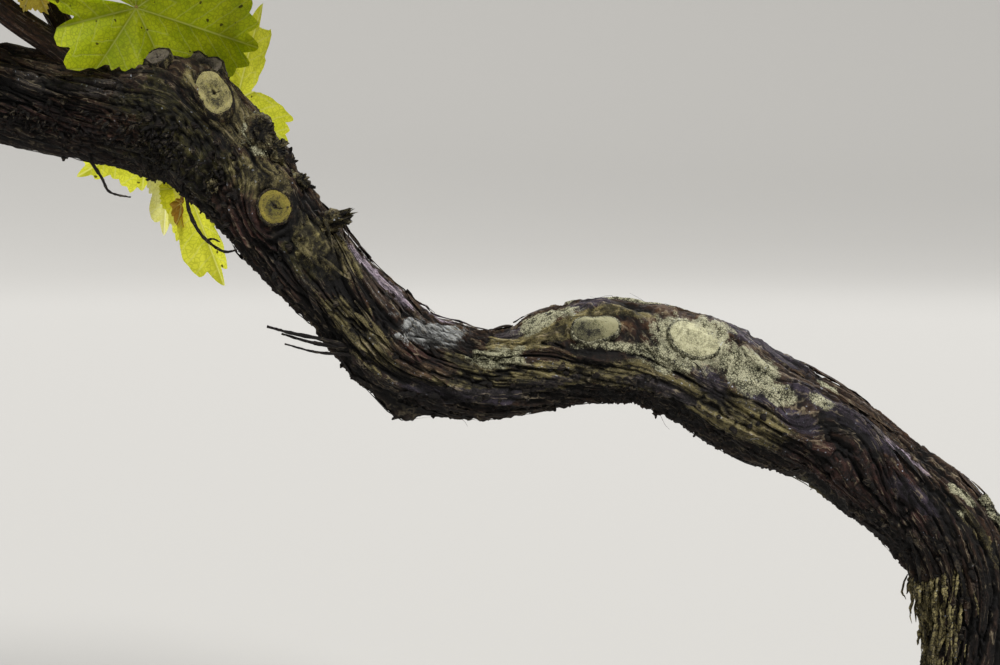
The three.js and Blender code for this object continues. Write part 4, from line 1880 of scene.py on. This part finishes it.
@dataclass
class Foliage:
    """Turns lists of leaves into joined pieces, one for each tint."""

    variants: int = 6
    droop: tuple[float, float] = (0.2, 1.1)
    fold: tuple[float, float] = (-0.15, 0.4)
    ripple: tuple[float, float] = (0.01, 0.06)

    def __post_init__(self) -> None:
        """Works out the blades' variants and the materials."""
        self.blades = [Blade(3, 3, 200 + k, 0.6 + 0.12 * k) for k in range(self.variants)]
        self.materials = {tint: finish.material() for tint, finish in LEAF_FINISHES.items()}
        self.rng = np.random.default_rng(61)

    def build(self, leaves: Sequence[Leaf], nodes: Sequence[str]) -> None:
        """Makes one piece of each tint, which stand for the nodes together.

        Args:
            leaves: the leaves.
            nodes: the solids.
        """
        start, tip, face, size = (
            np.array(each) for each in zip(*((own.start, own.tip, own.face, own.size) for own in leaves)))
        count = len(leaves)
        variant = self.rng.integers(0, self.variants, count)
        bends = (self.droop, self.fold, self.ripple)
        bends = np.array([self.rng.uniform(*within, count) for within in bends])
        for tint in TINT_SHARES:
            of_tint = np.array([own.tint is tint for own in leaves])
            parts = []
            for k, blade in enumerate(self.blades):
                at = np.flatnonzero(of_tint & (variant == k))
                if len(at):
                    placed = blade.placed(start[at], tip[at], face[at], size[at], bends[:, at])
                    parts.append((blade, placed, size[at]))
            self.join("leaves_" + tint.value, parts, self.materials[tint], nodes)

    @staticmethod
    def join(name: str, parts: Sequence[tuple[Blade, Array, Array]], material: Material,
             nodes: Sequence[str]) -> None:
        """Joins leaves into one piece, each with its own place on the UV map.

        Args:
            name: the piece's name.
            parts: a blade, the points of each leaf of it, and their sizes.
            material: theirs.
            nodes: the solids that the piece stands for.
        """
        across = math.ceil(math.sqrt(sum(len(leaf) for _, leaf, _ in parts)))
        made = []
        offset = done = 0
        for blade, leaf, size in parts:
            count, corners = leaf.shape[:2]
            number = done + np.arange(count)
            cell = np.stack((number % across, number // across), axis=-1)
            uv = (cell[:, None] + 0.5 + 0.44 * blade.flat) / across
            first = offset + np.arange(count)[:, None, None] * corners
            flat = np.pad(blade.flat, ((0, 0), (0, 1))) * size[:, None, None]
            place = flat + 0.37 * UP * number[:, None, None]
            made.append((leaf.reshape(-1, 3), place.reshape(-1, 3),
                         (blade.along * size[:, None]).ravel(), (blade.aside * size[:, None]).ravel(),
                         (blade.fan + first).reshape(-1, 3), (blade.walls + first).reshape(-1, 4),
                         uv[:, blade.fan].reshape(-1, 2), uv[:, blade.walls].reshape(-1, 2)))
            offset += count * corners
            done += count
        joined = [np.concatenate(each) for each in zip(*made)]
        points, place, along, aside, fans, walls, fan_uv, wall_uv = joined
        fields = {"place": place, "along": along, "aside": aside}
        mesh = Mesh(points, [fans, walls], fields, np.concatenate((fan_uv, wall_uv)))
        mesh.build(name, "foliage", nodes, material)


@dataclass(frozen=True)
class ShootFinish:
    """This year's wood: ripe and brown at its foot, still green at its tip."""

    name: str
    foot: str
    streak: str
    tip: str

    def material(self) -> Material:
        """Builds the material, which reads the fields age and grain.

        Returns:
            The material.
        """
        shader = Shader(self.name)
        grain = shader.field("grain", vector=True)
        fibre = shader.fibres(grain, 0.06, 900, 2)
        blotch = shader.noise(grain, 60, 2)
        young = (shader.field("age") + 0.5 * (blotch - 0.5)).step(0.35, 0.85)
        colour = shader.ramp(fibre, (0.35, self.foot), (0.65, self.streak))
        shader.set(Base_Color=shader.blend(young, colour, self.tip), Roughness=0.55)
        shader.bump(fibre, 0.0004, 0.6)
        return shader.material


RIPE_SHOOT = ShootFinish("ripe_shoot", "7a4f2e", "9a6a3c", "8d9a3e")
GREEN_SHOOT = ShootFinish("green_shoot", "6b7a2c", "8f6a3a", "a5a24c")
LEAF_STALK = ShootFinish("leaf_stalk", "9a9a44", "a0603c", "b9b35c")

CANES: dict[str, list[Station]] = {
    "cane_two_year": [(-618, -3, 812, 11), (-650, -4, 836, 9.2), (-686, -6, 862, 9),
                      (-724, -4, 898, 8.6), (-748, 0, 948, 8)],
    "cane_behind": [(-640, 18, 812, 9), (-650, 18, 848, 8), (-662, 16, 872, 7.6),
                    (-678, 10, 912, 7), (-690, 2, 956, 6.5)],
    "cane_head": [(-586, 12, 812, 8), (-590, 14, 868, 7), (-588, 16, 948, 6.2)],
    "cane_right": [(-548, 14, 796, 8.5), (-538, 30, 850, 7.8), (-519, 38, 900, 7.2),
                   (-476, 36, 958, 6.6), (-430, 24, 996, 6)],
    "cane_arm_front": [(-738, 6, 822, 8), (-748, -14, 868, 7.2), (-786, -34, 950, 6.4)],
    "cane_arm_back": [(-806, 12, 826, 7.6), (-820, 30, 880, 6.9), (-850, 40, 960, 6.2)],
    "cane_arm_end": [(-846, 6, 824, 10), (-892, 2, 852, 8), (-934, -4, 906, 7.2),
                     (-966, -8, 992, 6.4)],
}

# How many shoots of each cane reach the top of each mass.
SHOOTS: dict[str, dict[str, int]] = {
    "cane_two_year": {"middle_left_top": 3, "left_high": 1},
    "cane_behind": {"middle_left_top": 2, "middle_right_top": 1},
    "cane_head": {"middle_right_top": 3},
    "cane_right": {"right_high": 4, "far_right_low": 4},
    "cane_arm_front": {"left_high": 2, "middle_left_top": 1},
    "cane_arm_back": {"left_high": 3},
    "cane_arm_end": {"far_left_low": 4, "left_high": 1},
}

MASSES = ("middle_left_low", "middle_left_high", "middle_left_top", "middle_right_low",
          "middle_right_high", "middle_right_top", "left_low", "left_high", "right_low",
          "right_high", "far_left_low", "far_right_low")


@dataclass(frozen=True)
class Twig:
    """One shoot or side shoot: its points from the foot to the tip, and its radii."""

    points: Array
    radii: Array


@dataclass
class Crown:
    """Canes, the shoots that grow on from them, side shoots, stalks, tendrils and leaves."""

    foliage: Foliage
    cane_sides: int = 44
    cane_step: float = 0.0016
    joint_gap: int = 78
    shoot_steps: int = 56
    side_steps: int = 12
    stalk_steps: int = 6
    tendril_steps: int = 40
    node_gap: float = 0.06
    spray_gap: float = 0.088
    tries: int = 9000
    spray_inset: tuple[float, float, float] = (0.05, 0.055, 0.045)
    middle: float = -0.63
    # What the leaves keep within: no lower, no nearer, no deeper and no further right.
    lowest: float = 0.893
    front: float = -0.228
    deepest: float = 0.223
    right: float = -0.14
    broadest: float = 0.95

    def __post_init__(self) -> None:
        """Reads where the masses are, and starts the draws and the lists."""
        self.rng = np.random.default_rng(23)
        self.boxes = {name: np.array(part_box("foliage_" + name)) for name in MASSES}
        self.leaves: list[Leaf] = []
        self.shoots: list[Twig] = []
        self.sides: list[Twig] = []
        self.stalks: list[Twig] = []
        self.tendrils: list[Twig] = []

    def build(self) -> None:
        """Grows the crown and makes its pieces."""
        cane = BarkFinish("cane_bark", "120c0a", "382a26", "6e594e", "a08c7c", "b8a698").material()
        for seed, (name, stations) in enumerate(CANES.items()):
            self._cane(Course(stations), seed).build(name + "_bark", "cane", [name], cane)
        for name, tops in SHOOTS.items():
            self._spur(Course(CANES[name]), tops)
        self._fill()
        ripe, green, stalk = (each.material() for each in (RIPE_SHOOT, GREEN_SHOOT, LEAF_STALK))
        self._twigs(self.shoots, 8).build("shoots", "cane", [], ripe)
        self._twigs(self.sides, 6).build("side_shoots", "cane", [], green)
        self._twigs(self.stalks, 5).build("leaf_stalks", "foliage", [], stalk)
        self._twigs(self.tendrils, 4).build("tendrils", "foliage", [], stalk)
        self.foliage.build(self.leaves, ["foliage_" + name for name in MASSES])

    def _cane(self, course: Course, seed: int) -> Mesh:
        """Makes a cane with its fibrous bark, its joints and a rounded tip.

        Args:
            course: the cane's course.
            seed: what its unevenness is drawn from.

        Returns:
            The mesh.
        """
        lengths = np.linspace(0, course.length, round(course.length / self.cane_step))
        length, angle = np.broadcast_arrays(lengths[:, None], round_angles(self.cane_sides))
        centre, _, across, up = course.frame(length)
        radius = course.radius(length)
        mm, turns = length / MM, angle / TURN
        fibre, strip = Grain(300 + seed, 34), Grain(320 + seed, 13)
        ridge = ridges(strip(mm / 55, turns + 0.03 * fibre(mm / 60, turns)))
        fine = 0.55 * (ridge - 0.5) + 0.3 * fibre(mm / 26, turns)
        joint = bell((mm + 20 + 13 * seed) % self.joint_gap - self.joint_gap / 2, 5.5)
        reach = radius * (1 + 0.14 * joint) + fine * MM
        out = across * np.cos(angle)[..., None] + up * np.sin(angle)[..., None]
        points = centre + out * reach[..., None]
        tail = np.linspace(0, math.pi / 2, 8)[1:]
        end = course.centre(course.last)
        tip = end + (points[-1:] - end) * np.cos(tail)[:, None, None] * 0.98
        rise = (0.8 * radius[-1, 0] * np.sin(tail))[:, None, None]
        points = np.concatenate((points, tip + course.along(course.last) * rise))
        height = np.clip(0.5 + 0.5 * fine, 0, 1)
        height = np.concatenate((height, np.repeat(height[-1:], len(tail), axis=0)))
        lengths = np.append(lengths, course.length + 0.006 * np.sin(tail))
        grain = rolled(lengths[:, None], course.stations[:, 3].mean(), angle[0])
        fields = {"height": height.ravel(), "grain": grain.reshape(-1, 3)}
        size = (len(points), self.cane_sides)
        return Mesh(points, [grid_faces(*size)], fields, grid_uv(*size))

    def _spur(self, course: Course, tops: dict[str, int]) -> None:
        """Grows a cane's shoots, each into the mass that it tops.

        Args:
            course: the cane's course.
            tops: how many shoots each mass gets.
        """
        columns = [column for column, count in tops.items() for _ in range(count)]
        for number, column in enumerate(columns):
            share = course.last * (1 - 0.3 * number / len(columns))
            self._shoot(course.centre(share), course.along(share), self._top(column, number))

    def _top(self, column: str, number: int) -> Array:
        """Where a shoot of a column ends, spread over the column's top.

        Args:
            column: the mass.
            number: the shoot's number on its cane.

        Returns:
            The place.
        """
        low, high = self.boxes[column]
        turn = number * 2.4 + self.rng.uniform(-0.3, 0.3)
        spread = self.rng.uniform(0.35, 0.62)
        middle, half = (low + high) / 2, (high - low) / 2
        place = middle + half * spread * np.array([math.cos(turn), math.sin(turn), 0])
        place[2] = mix(low[2], high[2], self.rng.uniform(0.72, 0.93))
        return place

    def _shoot(self, start: Array, way: Array, end: Array) -> None:
        """Grows one shoot with its leaves.

        Args:
            start: its foot, on the cane.
            way: the cane's direction there.
            end: its tip.
        """
        rng = self.rng
        span = float(np.linalg.norm(end - start))
        aside = (end - start) * (1, 1, 0)
        first = start + (way * 0.4 + unit(aside + 1e-9) * 0.35 + 0.5 * UP) * 0.22 * span
        second = mix(start, end, 0.62) + 0.3 * aside + 0.02 * UP
        t = np.linspace(0, 1, self.shoot_steps)[:, None]
        path = (1 - t) ** 3 * start + 3 * t * (1 - t) ** 2 * first
        path = path + 3 * t * t * (1 - t) * second + t**3 * end
        sways = rng.normal(0, 0.011, (5, 3))
        waves = (sway * np.sin((k + 1.5) * math.pi * t) for k, sway in enumerate(sways))
        path = path + np.sin(math.pi * t) * sum(waves)
        lengths = np.append(0, np.cumsum(np.linalg.norm(np.diff(path, axis=0), axis=1)))
        nodes = np.arange(0.035, lengths[-1], self.node_gap)
        knee = np.abs(lengths[:, None] - nodes).min(axis=1)
        radii = mix(0.0044, 0.0014, (lengths / lengths[-1]) ** 0.8) * (1 + 0.3 * bell(knee, 0.005))
        radii[0] *= 1.25
        self.shoots.append(Twig(path, radii))
        plane = rng.uniform(0, TURN)
        tints = self._deal(), self._deal()
        for k, at in enumerate(nodes):
            place = np.array([np.interp(at, lengths, each) for each in path.T])
            on = int(np.searchsorted(lengths, at).clip(1, len(path) - 1))
            along = unit(path[on] - path[on - 1])
            turn = plane + math.pi * (k % 2) + rng.normal(0, 0.35)
            size = mix(0.1, 0.062, k / len(nodes)) * rng.uniform(0.85, 1.15)
            self._leaf(place, along, turn, size, tints[k >= len(nodes) * 0.45])
            if k % 3 == 1 and rng.random() < 0.5:
                self._tendril(place, along, turn + math.pi)

    def _deal(self) -> Tint:
        """Draws a tint."""
        tints = list(TINT_SHARES)
        return tints[self.rng.choice(len(tints), p=list(TINT_SHARES.values()))]

    def _outward(self, place: Array) -> Array:
        """The way out of the crown at a place.

        Args:
            place: a place in the crown.

        Returns:
            A direction of length one.
        """
        offset = np.array([0.25 * (place[0] - self.middle), 1.6 * place[1], 0.0])
        offset[1] += math.copysign(0.03, place[1])
        return offset / max(float(np.linalg.norm(offset)), 1e-6)

    @staticmethod
    def _beside(along: Array) -> tuple[Array, Array]:
        """Two ways that stand square to a twig and to each other."""
        side = unit(np.cross(along, np.array([0.3, 0.2, 0.93])) + 1e-9)
        return side, np.cross(along, side)

    def _leaf(self, place: Array, along: Array, turn: float, size: float, tint: Tint) -> None:
        """Adds one leaf on its stalk, if it hangs clear of what has to stay open.

        Args:
            place: the joint that its stalk leaves.
            along: the twig's direction there.
            turn: the angle round the twig.
            size: from the stalk's end to the tip, in metres.
            tint: its colour.
        """
        rng = self.rng
        side, other = self._beside(along)
        out = side * math.cos(turn) + other * math.sin(turn)
        way = unit(out * 0.75 + self._outward(place) * 0.75 + 0.15 * UP)
        reach = size * rng.uniform(0.55, 0.95)
        end = place + way * reach + 0.1 * reach * UP
        tip = way * rng.uniform(0.3, 0.8) - UP * rng.uniform(0.35, 0.95)
        tip = unit(tip + rng.normal(0, 0.2, 3))
        face = way * rng.uniform(0.4, 0.9) + UP * rng.uniform(0.3, 0.9)
        face = unit(face + rng.normal(0, 0.22, 3))
        leaf = Leaf(end, tip, face, size, tint)
        if self._clear(leaf):
            path = bend(place, place + way * 0.55 * reach + 0.16 * reach * UP, end, self.stalk_steps)
            self.stalks.append(Twig(path, np.linspace(0.0015, 0.0011, self.stalk_steps)))
            self.leaves.append(leaf)

    def _clear(self, leaf: Leaf) -> bool:
        """Whether a leaf keeps inside the solids' box and off what has to stay open.

        Args:
            leaf: the leaf.

        Returns:
            The truth value.
        """
        low, high = np.array(CAD_BOX)
        far = leaf.start + leaf.tip * leaf.size
        around = leaf.start + leaf.tip * leaf.size * 0.35
        spread = leaf.size * 0.8
        normal = unit(leaf.face - leaf.tip * (leaf.face @ leaf.tip))
        width = self.broadest * leaf.size * math.sqrt(max(0.0, 1 - normal[1] ** 2))
        return bool(np.all(far > low + 0.004) and np.all(far < high - 0.004)
                    and abs(around[1]) + 0.7 * spread < self.deepest
                    and leaf.start[1] - width > self.front
                    and low[0] - 0.035 < around[0] - spread
                    and around[0] + spread < self.right
                    and around[2] - 0.9 * spread > self.lowest
                    and around[2] + spread < high[2] + 0.03
                    and far[2] > self.lowest + 0.01)

    def _tendril(self, place: Array, along: Array, turn: float) -> None:
        """Adds one tendril that ends in a coil.

        Args:
            place: where it starts.
            along: the shoot's way there.
            turn: the angle round the shoot.
        """
        side, other = self._beside(along)
        out = unit(side * math.cos(turn) + other * math.sin(turn) + 0.5 * along)
        reach = self.rng.uniform(0.03, 0.06)
        t = np.linspace(0, 1, self.tendril_steps)[:, None]
        coil = smooth(0.5, 0.75, t) * 0.0045 * (1.2 - t)
        spin = 26 * np.maximum(t - 0.5, 0) * 2
        path = place + out * reach * t - 0.3 * UP * reach * t**2
        path = path + coil * (np.cos(spin) * other + np.sin(spin) * along)
        if path[:, 2].min() > self.lowest:
            self.tendrils.append(Twig(path, np.linspace(0.0009, 0.0004, self.tendril_steps)))

    def _targets(self) -> Array:
        """Evenly spread places in the masses that sprays have to reach, as drawn.

        Returns:
            One row a place.
        """
        kept = []
        for number in range(self.tries):
            low, high = self.boxes[MASSES[number % len(MASSES)]]
            way = self.rng.normal(0, 1, 3)
            way = way / np.linalg.norm(way) * self.rng.random() ** (1 / 3)
            place = (low + high) / 2 + way * ((high - low) / 2 - np.array(self.spray_inset))
            if place[2] < self.lowest + 0.06:
                continue
            if not kept or np.linalg.norm(np.array(kept) - place, axis=1).min() > self.spray_gap:
                kept.append(place)
        return np.array(kept)

    def _fill(self) -> None:
        """Grows a side shoot with its spray of leaves to each target."""
        rng, steps = self.rng, self.side_steps
        stems = np.concatenate([twig.points[4:] for twig in self.shoots])
        ways = np.concatenate([unit(np.gradient(twig.points, axis=0))[4:] for twig in self.shoots])
        for target in self._targets():
            gap = target - stems
            far = np.linalg.norm(gap, axis=1)
            near = int(np.argmin(far + 0.4 * np.maximum(0, -gap[:, 2]) + 10 * (far < 0.03)))
            start, span = stems[near], float(far[near])
            path = bend(start, start + ways[near] * 0.35 * span + gap[near] * 0.3, target, steps)
            self.sides.append(Twig(path, np.linspace(0.0021, 0.0011, steps)))
            tint = self._deal()
            plane = rng.uniform(0, TURN)
            count = max(2, round(span / 0.04))
            for k in range(count):
                at = mix(0.45, 1.0, k / (count - 1)) * (steps - 1)
                low = min(int(at), steps - 2)
                place = mix(path[low], path[low + 1], at - low)
                along = unit(path[low + 1] - path[low])
                size = rng.uniform(0.055, 0.088)
                self._leaf(place, along, plane + math.pi * (k % 2) + rng.normal(0, 0.4), size, tint)

    @staticmethod
    def _twigs(twigs: Sequence[Twig], sides: int) -> Mesh:
        """Joins twigs of one kind into a mesh.

        Args:
            twigs: the twigs.
            sides: corners round each.

        Returns:
            The mesh.
        """
        paths = np.array([twig.points for twig in twigs])
        mesh = tubes(paths, np.array([twig.radii for twig in twigs]), sides)
        count, steps = paths.shape[:2]
        age = np.broadcast_to(np.linspace(0, 1, steps)[:, None], (count, steps, sides))
        gaps = np.linalg.norm(np.diff(paths, axis=1, prepend=paths[:, :1]), axis=2)
        length = np.cumsum(gaps, axis=1)[..., None] + np.arange(count)[:, None, None] * 0.31
        grain = rolled(length, 0.003, round_angles(sides))
        mesh.fields = {"age": age.ravel(), "grain": grain.reshape(-1, 3)}
        return mesh


@dataclass(frozen=True)
class OwnLeaf:
    """A leaf that shows close up, with its own place, in millimetres."""

    name: str
    node: str
    tint: Tint
    junction: Point
    tip: Point
    face: Point
    root: Point
    size: float
    droop: float = 0.3
    fold: float = 0.1
    ripple: float = 0.03
    outline: tuple[tuple[float, float], ...] = Blade.KEYS
    knee: Point = (0, -4, 8)


BROAD = ((0, 1.0), (12, 0.88), (22, 0.84), (38, 0.48), (60, 0.53), (75, 0.43), (92, 0.5),
         (103, 0.5), (126, 0.76), (136, 0.62), (145, 0.71), (156, 0.51), (168, 0.73), (178, 0.1))
SPLIT = ((0, 1.0), (9, 0.8), (16, 0.87), (47, 0.2), (88, 0.7), (98, 0.66), (112, 0.72),
         (124, 0.54), (140, 0.5), (178, 0.1))
SLIM = ((0, 1.0), (9, 0.86), (15, 0.8), (26, 0.5), (60, 0.3), (110, 0.24), (178, 0.1))
LOW = ((0, 1.0), (20, 0.66), (40, 0.72), (60, 0.6), (85, 0.66), (110, 0.6), (130, 0.7),
       (178, 0.1))

OWN_LEAVES = (
    OwnLeaf("leaf_over_arm", "leaves_over_head", Tint.LIME, (-592, -21, 861), (0.82, 0.5, -0.25),
            (0.5, -0.85, -0.05), (-590, 10, 905), 90, 0.1, 0.05, 0.02, BROAD),
    OwnLeaf("leaf_behind_head", "leaves_behind_head", Tint.FADING, (-535, 44, 802),
            (0.28, -0.1, 0.95), (-0.25, -0.95, 0.0), (-533, 35, 866), 68, 0.1, 0.1, 0.03,
            SPLIT, (4, 26, 0)),
    OwnLeaf("leaf_under_head", "leaves_under_head", Tint.FADING, (-569, 32, 739),
            (0.34, 0.0, -0.94), (-0.3, -0.95, 0.1), (-562, 26, 772), 71, 0.1, 0.3, 0.05, SLIM),
    OwnLeaf("leaf_under_head_left", "leaves_under_head", Tint.PALE, (-583, 32, 756),
            (-0.08, 0.0, -1.0), (0.2, -0.95, 0.0), (-566, 26, 772), 49, 0.1, 0.25, 0.05, SLIM),
    OwnLeaf("leaf_scrap", "leaves_under_head", Tint.AMBER, (-573, 28, 729), (0.02, 0.0, -1.0),
            (-0.6, -0.8, 0.0), (-570, 30, 742), 21, 0.2, 0.6, 0.05, SLIM),
    OwnLeaf("leaf_under_arm", "leaves_under_arm", Tint.FADING, (-598, 44, 778), (-0.86, 0.0, -0.5),
            (0.1, -1.0, -0.1), (-606, 30, 800), 60, 0.2, 0.1, 0.04, LOW),
    OwnLeaf("leaf_rim", "leaves_over_head", Tint.YELLOW, (-660, -20, 877), (0.4, -0.15, -0.9),
            (-0.3, -0.9, 0.0), (-690, -8, 884), 22, 0.3, 0.3, 0.05),
)


@dataclass
class OwnLeaves:
    """The few leaves that show close up, each dense enough for its veins and teeth."""

    materials: dict[Tint, Material]
    stalk: Material
    around: int = 104
    rings: int = 24
    stalk_steps: int = 20
    stalk_sides: int = 8
    stalk_radius: float = 0.0013

    def build(self) -> None:
        """Makes each leaf and its stalk as one piece each."""
        for seed, own in enumerate(OWN_LEAVES):
            steps = round(self.around / len(own.outline))
            blade = Blade(steps, self.rings, 31 + seed, outline=own.outline)
            places = (own.junction, own.root, own.knee)
            start, root, knee = (np.array([each]) * MM for each in places)
            tip, face, size = np.array([own.tip]), np.array([own.face]), np.array([own.size * MM])
            bends = np.array([[own.droop], [own.fold], [own.ripple]])
            points = blade.placed(start, tip, face, size, bends)
            Foliage.join(own.name, [(blade, points, size)], self.materials[own.tint], [own.node])
            path = bend(root, mix(root, start, 0.5) + knee, start, self.stalk_steps)
            radii = np.full((1, self.stalk_steps), self.stalk_radius)
            mesh = tubes(path[None], radii, self.stalk_sides)
            mesh.fields = {"grain": mesh.points}
            mesh.build(own.name + "_stalk", "foliage", [], self.stalk)


@dataclass
class Studio:
    """A plain pale floor, soft light and the camera at the photograph's view."""

    lens: float = 60.0
    distance: float = 1.16667
    tilt: float = math.radians(6)
    look: Point = (-0.34677, 0.0, 0.63904)
    floor: int = 9
    wall: int = 7
    floor_sides: int = 96

    def build(self) -> None:
        """Sets the camera, the floor, the lamps and the sky."""
        self._camera()
        self._floor()
        self._lamp("key", (0.35, -0.8, 1.1), 14, 3.2)
        self._lamp("rim", (0.25, 0.8, 0.9), 20, 3.0)
        self._sky()
        bpy.context.scene.view_settings.view_transform = "Standard"

    def _camera(self) -> None:
        """The camera that takes the photograph's view."""
        data = bpy.data.cameras.new("camera")
        data.lens = self.lens
        camera = bpy.data.objects.new("camera", data)
        bpy.context.scene.collection.objects.link(camera)
        back = np.array([0, -math.cos(self.tilt), math.sin(self.tilt)])
        camera.location = self.look + self.distance * back
        camera.rotation_euler = (math.pi / 2 - self.tilt, 0, 0)
        bpy.context.scene.camera = camera

    def _floor(self) -> None:
        """A wide pale floor that curves up all round, far away, into a plain wall."""
        curve = np.linspace(0, math.pi / 2, 15)[1:]
        flat = np.append(0.01, np.linspace(1, self.floor, self.floor))
        reach = np.append(flat, self.floor + self.wall * np.sin(curve))[:, None]
        rise = np.append(0 * flat, self.wall * (1 - np.cos(curve)))[:, None]
        angles = round_angles(self.floor_sides)
        places = (reach * np.cos(angles), reach * np.sin(angles), rise - 0.0005)
        points = np.stack(np.broadcast_arrays(*places), axis=-1)
        shader = Shader("pale_floor")
        shader.set(Base_Color=paint("a3a19d"), Roughness=0.95)
        faces = grid_faces(len(reach), self.floor_sides)[:, ::-1]
        Mesh(points, [faces]).shown("floor", shader.material)

    @staticmethod
    def _lamp(name: str, toward: Point, width: float, strength: float) -> None:
        """A wide, distant, soft lamp.

        Args:
            name: its name.
            toward: the way from the vine to the lamp.
            width: how wide it looks, in degrees.
            strength: what it sheds on each square metre, in watts.
        """
        data = bpy.data.lights.new(name, "SUN")
        data.angle = math.radians(width)
        data.energy = strength
        lamp = bpy.data.objects.new(name, data)
        bpy.context.scene.collection.objects.link(lamp)
        lean = math.atan2(math.hypot(toward[0], toward[1]), toward[2])
        lamp.rotation_euler = (lean, 0, math.atan2(toward[0], -toward[1]))

    @staticmethod
    def _sky() -> None:
        """An even pale sky."""
        world = bpy.data.worlds.new("sky")
        world.use_nodes = True
        light = world.node_tree.nodes["Background"]
        light.inputs["Color"].default_value = paint("f2f3f5")
        light.inputs["Strength"].default_value = 0.45
        bpy.context.scene.world = world


def main() -> None:
    """Builds the vine and its studio."""
    logging.basicConfig(level=logging.INFO, format="%(name)s: %(message)s")
    Studio().build()
    bark = BarkFinish().material()
    trunk = Trunk()
    trunk.build(bark)
    Stubs(trunk, bark).build()
    Shreds(trunk).build(bark)
    foliage = Foliage()
    Crown(foliage).build()
    OwnLeaves(foliage.materials, bpy.data.materials[LEAF_STALK.name]).build()
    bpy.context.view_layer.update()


if __name__ == "__main__":
    main()
